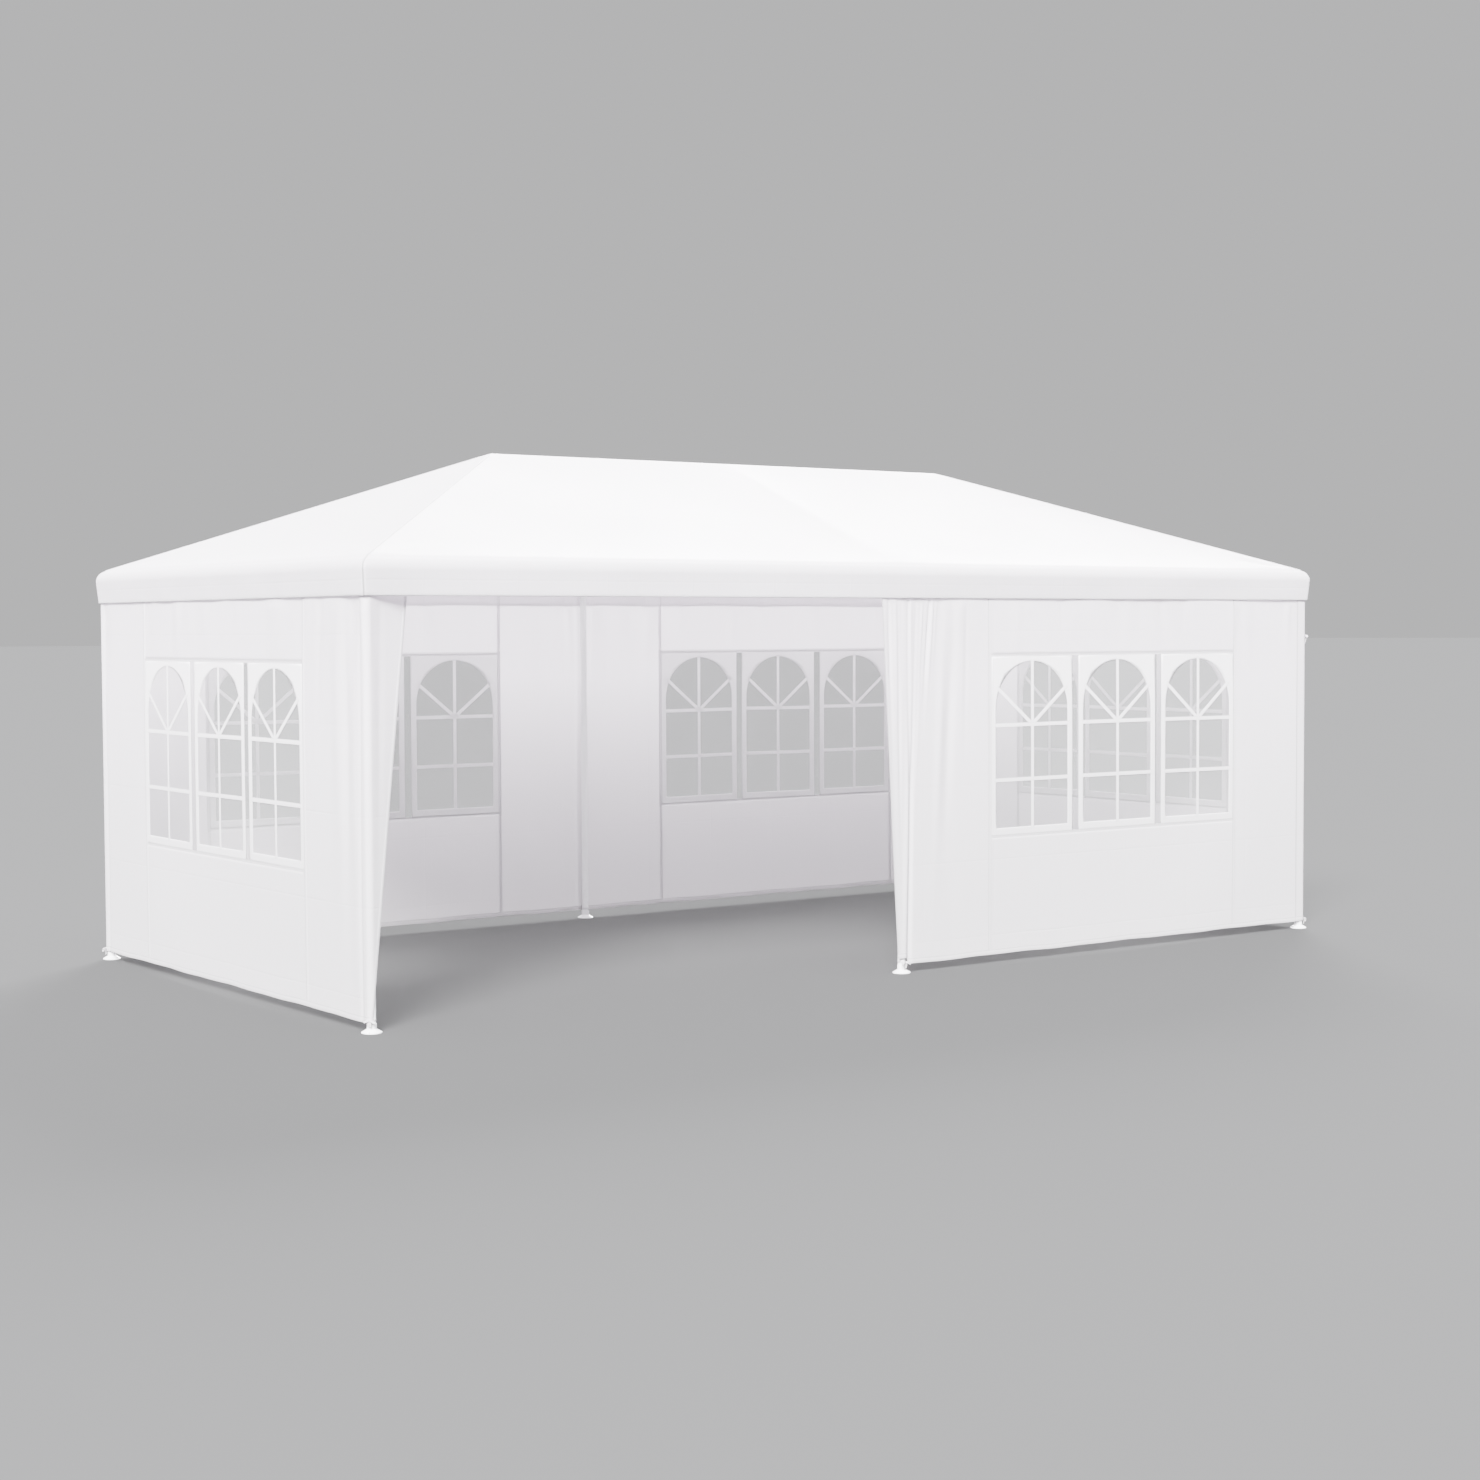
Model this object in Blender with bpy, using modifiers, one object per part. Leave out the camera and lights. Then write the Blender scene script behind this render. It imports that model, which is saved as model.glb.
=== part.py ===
"""Party marquee, nominally 3 m by 6 m: a plug-together steel tube frame under a hipped cover, with five
window walls and one open bay.

Metres, +Z up. X runs along the ridge and Y across it. The origin is the centre of the footprint on the
ground. The open bay is the left one of the front, which faces -Y.
"""

import math

import bmesh
import bpy
from mathutils import Matrix, Vector

# Plan and heights, measured on the axes of the tubes
BAY_LENGTH = 2.95
WIDTH = 2.95
EAVE_HEIGHT = 2.02
RIDGE_HEIGHT = 2.60

# Tubes, and the sockets of the joints that they plug into
LEG_DIAMETER = 0.038
ROOF_TUBE_DIAMETER = 0.025
SOCKET_WALL = 0.002
SOCKET_PLAY = 0.0003
SOCKET_START = 0.052
SOCKET_DEPTH = 0.060
CORE_SWELL = 0.0012
ROUND_SIDES = 20

# Feet
FOOT_DIAMETER = 0.090
FOOT_RIM_HEIGHT = 0.004
FOOT_FLARE_HEIGHT = 0.018
FOOT_COLLAR_HEIGHT = 0.040
FOOT_FLOOR = 0.006
FOOT_SIDES = 24

# Cloth: cover, valance and walls. Drops are measured down from the axes of the eave rails
CLOTH_THICKNESS = 0.003
VALANCE_DROP = 0.150
VALANCE_STANDOFF = 0.010
ROLL_STEPS = 6
WALL_BOTTOM = 0.045
WALL_TOP_DROP = 0.020
WRAP_TOP = 0.195
WRAP_BOTTOM = 0.002
OVERHANG_TOP = 0.150
OVERHANG_BOTTOM = 0.040

# Window of each wall, centred in its bay: a row of arched lights with a clear strip between each two
WINDOW_WIDTH = 1.80
WINDOW_HEIGHT = 0.925
WINDOW_DROP = 0.440
LIGHTS = 3
CLEAR_STRIP = 0.043
FRAME_SIDE = 0.035
FRAME_TOP = 0.030
FRAME_FOOT = 0.040
ARCH_STEPS = 12
FILM_THICKNESS = 0.0012
FILM_SEAM = 0.018

# Gap between pieces that touch
TOUCH_GAP = 0.0003

# Sizes worked out from the ones above
HALF_LENGTH = BAY_LENGTH
HALF_WIDTH = WIDTH / 2
RIDGE_HALF = HALF_LENGTH - HALF_WIDTH
LEG_RADIUS = LEG_DIAMETER / 2
ROOF_TUBE_RADIUS = ROOF_TUBE_DIAMETER / 2
LEG_SLEEVE_RADIUS = LEG_RADIUS + SOCKET_PLAY + SOCKET_WALL
ROOF_SLEEVE_RADIUS = ROOF_TUBE_RADIUS + SOCKET_PLAY + SOCKET_WALL
CORE_RADIUS = ROOF_SLEEVE_RADIUS + CORE_SWELL
SLOPE_ANGLE = math.atan2(RIDGE_HEIGHT - EAVE_HEIGHT, HALF_WIDTH)
COVER_INNER = CORE_RADIUS + TOUCH_GAP
WALL_INNER = LEG_SLEEVE_RADIUS + TOUCH_GAP
WALL_OUTER = WALL_INNER + CLOTH_THICKNESS
VALANCE_INNER = WALL_OUTER + VALANCE_STANDOFF
ROLL_RADIUS = (VALANCE_INNER - COVER_INNER * math.sin(SLOPE_ANGLE)) / (1 - math.sin(SLOPE_ANGLE))
WALL_TOP = EAVE_HEIGHT - WALL_TOP_DROP
WINDOW_TOP = EAVE_HEIGHT - WINDOW_DROP
WINDOW_BOTTOM = WINDOW_TOP - WINDOW_HEIGHT
LIGHT_WIDTH = (WINDOW_WIDTH - (LIGHTS - 1) * CLEAR_STRIP) / LIGHTS

SIDES = {"left": -1, "middle": 0, "right": 1}
FACES = {"front": -1, "back": 1}


def clear_scene():
    """Removes every object, so that the script starts from an empty scene."""
    for old in list(bpy.data.objects):
        bpy.data.objects.remove(old)


def new_collection(name):
    """A collection of the scene with that name."""
    collection = bpy.data.collections.new(name)
    bpy.context.scene.collection.children.link(collection)
    return collection


def new_material(name, colour, roughness, metallic=0.0, alpha=1.0):
    """A Principled BSDF with one colour."""
    material = bpy.data.materials.new(name)
    material.use_nodes = True
    shader = material.node_tree.nodes["Principled BSDF"]
    shader.inputs["Base Color"].default_value = (*colour, 1.0)
    shader.inputs["Roughness"].default_value = roughness
    shader.inputs["Metallic"].default_value = metallic
    shader.inputs["Alpha"].default_value = alpha
    return material


clear_scene()
MARQUEE = new_collection("marquee_tent")
CUTTERS = new_collection("cutters")
WHITE_STEEL = new_material("white_powder_coat", (0.86, 0.86, 0.87), 0.35)
JOINT_PLASTIC = new_material("white_joint_plastic", (0.82, 0.82, 0.83), 0.45)
COVER_CLOTH = new_material("white_cover_cloth", (0.90, 0.90, 0.91), 0.55)
WALL_CLOTH = new_material("white_wall_cloth", (0.88, 0.88, 0.90), 0.60)
CLEAR_FILM = new_material("clear_window_film", (0.93, 0.95, 0.96), 0.12, alpha=0.3)


def add_object(name, mesh, material, location=(0, 0, 0), rotation=None, collection=MARQUEE):
    """Links a mesh or curve as a named object with one material."""
    made = bpy.data.objects.new(name, mesh)
    made.location = location
    if rotation is not None:
        made.rotation_mode = "QUATERNION"
        made.rotation_quaternion = rotation
    mesh.materials.append(material)
    collection.objects.link(made)
    return made


def mesh_from(bm, name):
    """The bmesh as a mesh with its normals pointing out."""
    bmesh.ops.recalc_face_normals(bm, faces=bm.faces)
    mesh = bpy.data.meshes.new(name)
    bm.to_mesh(mesh)
    bm.free()
    return mesh


def shade_round(mesh):
    """Smooth shading on the round faces, sharp at the ends."""
    mesh.shade_smooth()
    mesh.set_sharp_from_angle(angle=math.radians(35))


def turned_towards(direction):
    """The rotation that takes local +Z to the direction."""
    return Vector(direction).to_track_quat("Z", "Y")


def add_rod(bm, start, end, radius, sides=ROUND_SIDES):
    """Adds a closed cylinder from start to end to the bmesh."""
    axis = end - start
    place = Matrix.Translation((start + end) / 2) @ turned_towards(axis).to_matrix().to_4x4()
    bmesh.ops.create_cone(
        bm,
        cap_ends=True,
        segments=sides,
        radius1=radius,
        radius2=radius,
        depth=axis.length,
        matrix=place,
    )


def tube(name, start, end, radius):
    """A straight tube piece, with its origin at its start and its length along local +Z."""
    axis = end - start
    bm = bmesh.new()
    add_rod(bm, Vector((0, 0, 0)), Vector((0, 0, axis.length)), radius)
    mesh = mesh_from(bm, name)
    shade_round(mesh)
    return add_object(name, mesh, WHITE_STEEL, start, turned_towards(axis))


def tube_between_joints(name, first, second, radius):
    """A tube that seats in the sockets of the joints centred on two points."""
    along = (second - first).normalized()
    inset = along * (SOCKET_START + TOUCH_GAP)
    return tube(name, first + inset, second - inset, radius)


def boolean(target, helper, operation):
    """A Boolean modifier with the exact solver."""
    modifier = target.modifiers.new(helper.name, "BOOLEAN")
    modifier.operation = operation
    modifier.solver = "EXACT"
    modifier.use_self = True
    modifier.object = helper


def add_helper(name, bm, centre):
    """A Boolean helper, out of the render and drawn as wire."""
    helper = add_object(name, mesh_from(bm, name), JOINT_PLASTIC, centre, collection=CUTTERS)
    helper.hide_render = True
    helper.display_type = "WIRE"
    return helper


def joint(name, centre, arms):
    """A moulded joint: a core ball with one socket for each arm, an arm being (direction, tube radius)."""
    core = bmesh.new()
    bmesh.ops.create_uvsphere(core, u_segments=ROUND_SIDES, v_segments=10, radius=CORE_RADIUS)
    body = add_object(name, mesh_from(core, name), JOINT_PLASTIC, centre)
    sleeves = bmesh.new()
    bores = bmesh.new()
    mouth = SOCKET_START + SOCKET_DEPTH
    for direction, tube_radius in arms:
        along = Vector(direction).normalized()
        bore_radius = tube_radius + SOCKET_PLAY
        add_rod(sleeves, Vector((0, 0, 0)), along * mouth, bore_radius + SOCKET_WALL)
        add_rod(bores, along * SOCKET_START, along * (mouth + SOCKET_WALL), bore_radius)
    boolean(body, add_helper(name + "_sleeves", sleeves, centre), "UNION")
    boolean(body, add_helper(name + "_bores", bores, centre), "DIFFERENCE")
    return body


def foot(name, x, y):
    """A dished foot plate with a socket that the leg stands in, turned round local Z."""
    bore = LEG_RADIUS + SOCKET_PLAY
    collar = bore + SOCKET_WALL
    rim = FOOT_DIAMETER / 2
    profile = [
        (0, FOOT_FLOOR),
        (bore, FOOT_FLOOR),
        (bore, FOOT_COLLAR_HEIGHT),
        (collar, FOOT_COLLAR_HEIGHT),
        (collar, FOOT_FLARE_HEIGHT),
        (rim, FOOT_RIM_HEIGHT),
        (rim, 0),
        (0, 0),
    ]
    mesh = bpy.data.meshes.new(name)
    edges = [(i, i + 1) for i in range(len(profile) - 1)]
    mesh.from_pydata([(radius, 0, height) for radius, height in profile], edges, [])
    made = add_object(name, mesh, WHITE_STEEL, (x, y, 0))
    screw = made.modifiers.new("turn", "SCREW")
    screw.steps = FOOT_SIDES
    screw.render_steps = FOOT_SIDES
    screw.use_merge_vertices = True
    screw.merge_threshold = 0.00005
    return made


def leg_and_foot(place, x, y):
    """A leg from its foot's socket up to the socket of the eave joint, and the foot."""
    low = Vector((x, y, FOOT_FLOOR + TOUCH_GAP))
    high = Vector((x, y, EAVE_HEIGHT - SOCKET_START - TOUCH_GAP))
    tube("leg_" + place, low, high, LEG_RADIUS)
    foot("foot_" + place, x, y)


def make_frame():
    """Legs, feet, eave rails, rafters, ridge and the joints between them."""
    down = ((0, 0, -1), LEG_RADIUS)
    ridge = {side: Vector((sign * RIDGE_HALF, 0, RIDGE_HEIGHT)) for side, sign in SIDES.items()}
    for face, y_sign in FACES.items():
        eave = {
            side: Vector((sign * HALF_LENGTH, y_sign * HALF_WIDTH, EAVE_HEIGHT))
            for side, sign in SIDES.items()
        }
        for side, point in eave.items():
            leg_and_foot(f"{face}_{side}", point.x, point.y)
            rise = (ridge[side] - point, ROOF_TUBE_RADIUS)
            inward = [((-SIDES[side], 0, 0), ROOF_TUBE_RADIUS), ((0, -y_sign, 0), ROOF_TUBE_RADIUS)]
            if side == "middle":
                inward = [((-1, 0, 0), ROOF_TUBE_RADIUS), ((1, 0, 0), ROOF_TUBE_RADIUS)]
            joint(f"eave_joint_{face}_{side}", point, [down, rise, *inward])
            rafter = f"middle_rafter_{face}" if side == "middle" else f"hip_rafter_{face}_{side}"
            tube_between_joints(rafter, point, ridge[side], ROOF_TUBE_RADIUS)
        for side in ("left", "right"):
            rail = f"eave_rail_{face}_{side}"
            tube_between_joints(rail, eave[side], eave["middle"], ROOF_TUBE_RADIUS)
    for side in ("left", "right"):
        sign = SIDES[side]
        front, back = (
            Vector((sign * HALF_LENGTH, y_sign * HALF_WIDTH, EAVE_HEIGHT)) for y_sign in FACES.values()
        )
        tube_between_joints(f"eave_rail_{side}_end", front, back, ROOF_TUBE_RADIUS)
        tube_between_joints(f"ridge_tube_{side}", ridge[side], ridge["middle"], ROOF_TUBE_RADIUS)
        hips = [(front - ridge[side], ROOF_TUBE_RADIUS), (back - ridge[side], ROOF_TUBE_RADIUS)]
        joint(f"ridge_joint_{side}", ridge[side], [((-sign, 0, 0), ROOF_TUBE_RADIUS), *hips])
    falls = [
        (Vector((0, y_sign * HALF_WIDTH, EAVE_HEIGHT - RIDGE_HEIGHT)), ROOF_TUBE_RADIUS)
        for y_sign in FACES.values()
    ]
    along = [((-1, 0, 0), ROOF_TUBE_RADIUS), ((1, 0, 0), ROOF_TUBE_RADIUS)]
    joint("ridge_joint_middle", ridge["middle"], [*along, *falls])


def cut_away(bm, point, outward):
    """Cuts a closed convex or extruded bmesh at a plane, drops the outward side and closes the cut."""
    geometry = bm.verts[:] + bm.edges[:] + bm.faces[:]
    bmesh.ops.bisect_plane(
        bm, geom=geometry, dist=1e-7, plane_co=point, plane_no=outward, clear_outer=True
    )
    open_edges = [edge for edge in bm.edges if edge.is_boundary]
    bmesh.ops.contextual_create(bm, geom=open_edges)


def placed(name, bm, origin, material):
    """The bmesh, which is in world coordinates, as an object with its origin at a point."""
    mesh = mesh_from(bm, name)
    mesh.transform(Matrix.Translation(-origin))
    return add_object(name, mesh, material, origin)


def slope_normal(outward):
    """The upward normal of the slope that faces outward, a horizontal unit vector."""
    return outward * math.sin(SLOPE_ANGLE) + Vector((0, 0, math.cos(SLOPE_ANGLE)))


def eave_middle(outward):
    """The middle of the eave rail line on the side that faces outward."""
    reach = Vector((abs(outward.x) * HALF_LENGTH, abs(outward.y) * HALF_WIDTH, 0))
    return Vector((outward.x * reach.x, outward.y * reach.y, EAVE_HEIGHT))


def corner_cuts(outward):
    """The planes of the two hips beside a side, as (point, outward normal), each half a gap back."""
    across = Vector((-outward.y, outward.x, 0))
    cuts = []
    for neighbour in (across, -across):
        corner = eave_middle(outward) + eave_middle(neighbour) - Vector((0, 0, EAVE_HEIGHT))
        plane_normal = (slope_normal(neighbour) - slope_normal(outward)).normalized()
        cuts.append((corner - plane_normal * TOUCH_GAP / 2, plane_normal))
    return cuts


def roof_slope(name, outward, meets_at_ridge):
    """One slope of the cover: a flat sheet mitred at the hips, and at the ridge on the long sides."""
    normal = slope_normal(outward)
    start = eave_middle(outward)
    span = 3 * HALF_LENGTH
    middle = start + normal * (COVER_INNER + CLOTH_THICKNESS / 2)
    bm = bmesh.new()
    size = Matrix.Diagonal((span, span, CLOTH_THICKNESS, 1))
    place = Matrix.Translation(middle) @ turned_towards(normal).to_matrix().to_4x4()
    bmesh.ops.create_cube(bm, size=1, matrix=place @ size)
    for point, plane_normal in corner_cuts(outward):
        cut_away(bm, point, plane_normal)
    if meets_at_ridge:
        cut_away(bm, outward * TOUCH_GAP / 2, -outward)
    down_slope = outward * math.cos(SLOPE_ANGLE) - Vector((0, 0, math.sin(SLOPE_ANGLE)))
    cut_away(bm, start - down_slope * TOUCH_GAP, down_slope)
    return placed(name, bm, start, COVER_CLOTH)


def valance_outline():
    """The valance's section as (outward, up) from the rail's axis: a roll over the rail, then the drop.

    The roll starts square above the rail, tangent to the slope, and ends upright.
    """
    back = ROLL_RADIUS - COVER_INNER
    centre_out = -back * math.sin(SLOPE_ANGLE)
    centre_up = -back * math.cos(SLOPE_ANGLE)
    turn = math.pi / 2 - SLOPE_ANGLE
    outer = []
    inner = []
    for step in range(ROLL_STEPS + 1):
        angle = turn * (1 - step / ROLL_STEPS)
        out, up = math.cos(angle), math.sin(angle)
        for points, radius in ((outer, ROLL_RADIUS + CLOTH_THICKNESS), (inner, ROLL_RADIUS)):
            points.append((centre_out + out * radius, centre_up + up * radius))
    outer.append((outer[-1][0], -VALANCE_DROP))
    inner.append((inner[-1][0], -VALANCE_DROP))
    return outer + inner[::-1]


def valance(name, outward):
    """The hanging edge of the cover on one side, mitred at the corners."""
    across = Vector((-outward.y, outward.x, 0))
    start = eave_middle(outward)
    span = 2 * HALF_LENGTH
    bm = bmesh.new()
    corners = [
        bm.verts.new(start + outward * out + Vector((0, 0, up)) - across * span)
        for out, up in valance_outline()
    ]
    section = bm.faces.new(corners)
    grown = bmesh.ops.extrude_face_region(bm, geom=[section])
    moved = [item for item in grown["geom"] if isinstance(item, bmesh.types.BMVert)]
    bmesh.ops.translate(bm, verts=moved, vec=across * 2 * span)
    for point, plane_normal in corner_cuts(outward):
        cut_away(bm, point, plane_normal)
    return placed(name, bm, start, COVER_CLOTH)


def sheet(name, outlines, thickness, outward, inner_offset, material):
    """A flat sheet on one side of the tent, as a filled 2D curve.

    Outlines are closed loops of (run, height), the second and later ones being holes. Run is along X on the
    front and back and along Y on the ends. The sheet's inner face lies inner_offset outside the leg axes.
    """
    curve = bpy.data.curves.new(name, "CURVE")
    curve.dimensions = "2D"
    curve.fill_mode = "BOTH"
    curve.extrude = thickness / 2
    # Local X points to the viewer's right from outside, which is +run on the front and on the right end.
    run_sign = 1 if -outward.y + outward.x > 0 else -1
    for outline in outlines:
        spline = curve.splines.new("POLY")
        spline.points.add(len(outline) - 1)
        spline.use_cyclic_u = True
        for point, (run, height) in zip(spline.points, outline):
            point.co = (run_sign * run, height, 0, 1)
    face_point = eave_middle(outward) + outward * (inner_offset + thickness / 2)
    face_point.z = 0
    made = add_object(name, curve, material, face_point)
    made.rotation_euler = (math.pi / 2, 0, math.atan2(outward.x, -outward.y))
    return made


def rectangle(low_run, high_run, low, high):
    """The four corners of an upright rectangle."""
    return [(low_run, low), (high_run, low), (high_run, high), (low_run, high)]


def arched_light(low_run):
    """The outline of one arched light, whose frame starts at a run: upright sides under a half circle."""
    left = low_run + FRAME_SIDE
    right = low_run + LIGHT_WIDTH - FRAME_SIDE
    radius = (right - left) / 2
    spring = WINDOW_TOP - FRAME_TOP - radius
    head = [
        (left + radius + radius * math.cos(angle), spring + radius * math.sin(angle))
        for angle in (math.pi * step / ARCH_STEPS for step in range(ARCH_STEPS + 1))
    ]
    foot_height = WINDOW_BOTTOM + FRAME_FOOT
    return [(left, foot_height), (right, foot_height), *head]


def window_holes(middle):
    """The outlines of a wall's arched lights and of the clear strips between them."""
    start = middle - WINDOW_WIDTH / 2
    pitch = LIGHT_WIDTH + CLEAR_STRIP
    lights = [arched_light(start + i * pitch) for i in range(LIGHTS)]
    low = WINDOW_BOTTOM + FRAME_FOOT
    high = WINDOW_TOP - FRAME_TOP
    starts = [start + i * pitch + LIGHT_WIDTH for i in range(LIGHTS - 1)]
    return lights + [rectangle(run, run + CLEAR_STRIP, low, high) for run in starts]


def window_wall(place, outward, edges, middle):
    """A wall sheet with its window openings, and the clear film sewn behind them.

    Edges are the (bottom left, bottom right, top right, top left) runs of the sheet.
    """
    low_left, low_right, high_right, high_left = edges
    outline = [
        (low_left, WALL_BOTTOM),
        (low_right, WALL_BOTTOM),
        (high_right, WALL_TOP),
        (high_left, WALL_TOP),
    ]
    outlines = [outline, *window_holes(middle)]
    sheet("wall_" + place, outlines, CLOTH_THICKNESS, outward, WALL_INNER, WALL_CLOTH)
    reach = WINDOW_WIDTH / 2 + FILM_SEAM
    film = rectangle(middle - reach, middle + reach, WINDOW_BOTTOM - FILM_SEAM, WINDOW_TOP + FILM_SEAM)
    film_offset = WALL_INNER - TOUCH_GAP - FILM_THICKNESS
    sheet("window_film_" + place, [film], FILM_THICKNESS, outward, film_offset, CLEAR_FILM)


def make_cover():
    """The four slopes of the cover and the valance round it."""
    for face, y_sign in FACES.items():
        outward = Vector((0, y_sign, 0))
        roof_slope(f"roof_{face}_slope", outward, True)
        valance(f"valance_{face}", outward)
    for side in ("left", "right"):
        outward = Vector((SIDES[side], 0, 0))
        roof_slope(f"roof_{side}_slope", outward, False)
        valance(f"valance_{side}", outward)


def make_walls():
    """Five window walls, and the part of the left wall that wraps round the corner leg at the open bay."""
    front = Vector((0, -1, 0))
    back = Vector((0, 1, 0))
    end = HALF_LENGTH + WALL_INNER - TOUCH_GAP
    seam = TOUCH_GAP / 2
    bay_middle = BAY_LENGTH / 2
    window_wall("front_right", front, (-OVERHANG_BOTTOM, end, end, -OVERHANG_TOP), bay_middle)
    window_wall("back_right", back, (seam, end, end, seam), bay_middle)
    window_wall("back_left", back, (-end, -seam, -seam, -end), -bay_middle)
    reach = HALF_WIDTH + WALL_OUTER
    for side in ("left", "right"):
        window_wall(side, Vector((SIDES[side], 0, 0)), (-reach, reach, reach, -reach), 0)
    wrap = [
        (-end, WALL_BOTTOM),
        (-HALF_LENGTH + WRAP_BOTTOM, WALL_BOTTOM),
        (-HALF_LENGTH + WRAP_TOP, WALL_TOP),
        (-end, WALL_TOP),
    ]
    sheet("wall_left_wrap", [wrap], CLOTH_THICKNESS, front, WALL_INNER, WALL_CLOTH)


def main():
    make_frame()
    make_cover()
    make_walls()


main()
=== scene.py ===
"""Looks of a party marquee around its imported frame: cover, window walls, seams, ties, finishes and studio.

Metres, +Z up. X runs along the ridge, the front faces -Y and the open bay is the left one of the front.
"""

import math

import bmesh
import bpy
import numpy as np
from bpy.props import FloatProperty, FloatVectorProperty, IntProperty, PointerProperty
from mathutils import Matrix, Vector


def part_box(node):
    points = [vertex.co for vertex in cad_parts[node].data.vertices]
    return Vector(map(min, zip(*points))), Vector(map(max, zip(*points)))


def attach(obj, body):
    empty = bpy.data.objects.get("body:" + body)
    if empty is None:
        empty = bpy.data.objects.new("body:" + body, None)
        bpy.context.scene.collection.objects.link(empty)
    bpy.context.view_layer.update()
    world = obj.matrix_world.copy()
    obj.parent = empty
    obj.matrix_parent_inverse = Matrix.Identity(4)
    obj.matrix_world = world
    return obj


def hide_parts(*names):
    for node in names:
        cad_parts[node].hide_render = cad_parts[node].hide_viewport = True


bl_info = {
    "name": "Party marquee",
    "version": (1, 0, 0),
    "blender": (4, 5, 0),
    "location": "View3D > Sidebar > Marquee",
    "description": "Dresses the steel frame of a party marquee with its cover, window walls and finishes",
    "category": "Add Mesh",
}

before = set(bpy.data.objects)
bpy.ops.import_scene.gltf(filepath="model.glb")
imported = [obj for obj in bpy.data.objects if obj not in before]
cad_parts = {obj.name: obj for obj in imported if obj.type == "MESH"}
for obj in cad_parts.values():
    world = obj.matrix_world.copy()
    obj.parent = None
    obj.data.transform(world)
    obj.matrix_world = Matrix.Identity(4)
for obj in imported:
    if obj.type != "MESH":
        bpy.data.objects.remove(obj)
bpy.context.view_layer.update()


def middle(node):
    """The middle of a frame node's box."""
    low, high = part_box(node)
    return (low + high) / 2


def span(node, axis):
    """The length of a frame node's box along an axis."""
    low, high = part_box(node)
    return high[axis] - low[axis]


def ground_point(node):
    """The point of the ground under the middle of a frame node."""
    return np.array(middle(node).to_tuple()) * (1, 1, 0)


# Places of the frame
HALF_LENGTH = middle("leg_front_right").x
HALF_WIDTH = -middle("leg_front_right").y
RIDGE_HALF = HALF_LENGTH - HALF_WIDTH
EAVE_HEIGHT = middle("eave_rail_front_right").z
RIDGE_HEIGHT = middle("ridge_tube_right").z
SLOPE = math.atan2(RIDGE_HEIGHT - EAVE_HEIGHT, HALF_WIDTH)
LEG_RADIUS = span("leg_front_right", 0) / 2
RAIL_RADIUS = span("eave_rail_front_right", 2) / 2
CORNERS = ((1, -1), (1, 1), (-1, 1), (-1, -1))

# Cover: its middle surface above the tube axes, the roll over the eave and the hanging valance, how round its
# ridge, hips and corners are with the most that they take of a level ring, its sag, and its hem and seams
SOLID_CLOTH = 0.003
COVER_LIFT = (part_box("roof_front_slope")[1].z - RIDGE_HEIGHT) * math.cos(SLOPE) - SOLID_CLOTH / 2
VALANCE_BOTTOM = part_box("valance_front")[0].z
ROLL_RADIUS = 0.055
VALANCE_LEAN = math.radians(5.0)
RIDGE_ROUNDING = 0.010
HIP_ROUNDING = 0.010
CORNER_ROUNDING = 0.018
MOST_ROUNDING = 0.98
CORNER_SEAM = 0.007
EAVE_EASING = 0.03
SAG_REACH = 0.22
COVER_HEM_LIFT = 0.0009
HIP_SEAM_LIFT = 0.0012
HIP_SEAM_END = 0.03
HIP_SEAM_SHARE = 0.65
HIP_SEAM_TURN = 1.4
HANGING_FROM = EAVE_HEIGHT + 0.01

# Grid of the cover: rows at the ridge, where those down the slope start and end and their spacing, rows over
# the eave and down the valance, columns on a long side and an end and how much they crowd at the corners,
# and columns round a corner, the ends of both included
RIDGE_ROWS = (0, 0.004, 0.009, 0.016, 0.028)
SLOPE_ROWS = (0.045, HALF_WIDTH, 0.036)
EAVE_ROWS = 12
VALANCE_ROWS = 19
SIDE_COLUMNS = (150, 76)
CROWDING = 0.4
CORNER_COLUMNS = 9

# Waves of the valance as size, pace, sway and pace of the sway, and the share of its setting that they take
VALANCE_WAVES = ((1, 23, 1.3, 5), (0.6, 41, 2.0, 3))
VALANCE_SHARE = 0.6

# Creases at the roof's corners: height, waves in a turn about the corner, distance where they are deepest,
# reach from there, and how far from a hip and from the eave they are whole
CORNER_CREASE = (0.004, 14, 0.22, 0.18)
CREASE_EASING = (0.06, 0.05)

# Walls: middle surface outside the leg axes, hem and top, laps with the next wall, and the window block in
# the middle of each. Ripples of the film are pace, sway and pace of the sway, across and up.
WALL_OFFSET = -middle("wall_front_right").y - HALF_WIDTH
WALL_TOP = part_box("wall_right")[1].z
WALL_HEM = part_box("wall_right")[0].z
CORNER_ARC = WALL_OFFSET * math.pi / 2
LAP_LIFT = 0.0032
LAP_RUN = 0.03
CORNER_LAP = 0.055
MIDDLE_LAP = 0.030
LAP_MARGIN = 0.006
LAP_EASING = 0.05
FILM_SEAM = 0.018
FILM_EASING = 0.05
FILM_STIFFNESS = 0.85
FILM_RIPPLES = ((11, 2.1, 5), (14, 1.7, 4))
STIFF_REACH = 0.10
BLOCK_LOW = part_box("window_film_right")[0].z + FILM_SEAM
BLOCK_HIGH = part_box("window_film_right")[1].z - FILM_SEAM
BLOCK_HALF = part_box("window_film_right")[1].y - FILM_SEAM

# Free edges beside the open bay, as run at the ground and its growth per metre up. The flap's run is counted
# from its leg's axis, and that of the strip that wraps round a leg from the end of the corner's arc.
FLAP_EDGE = (-0.038, -0.0555)
WRAP_EDGE = (-0.0134, 0.122)
WRAP_TURN = math.radians(15)

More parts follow.
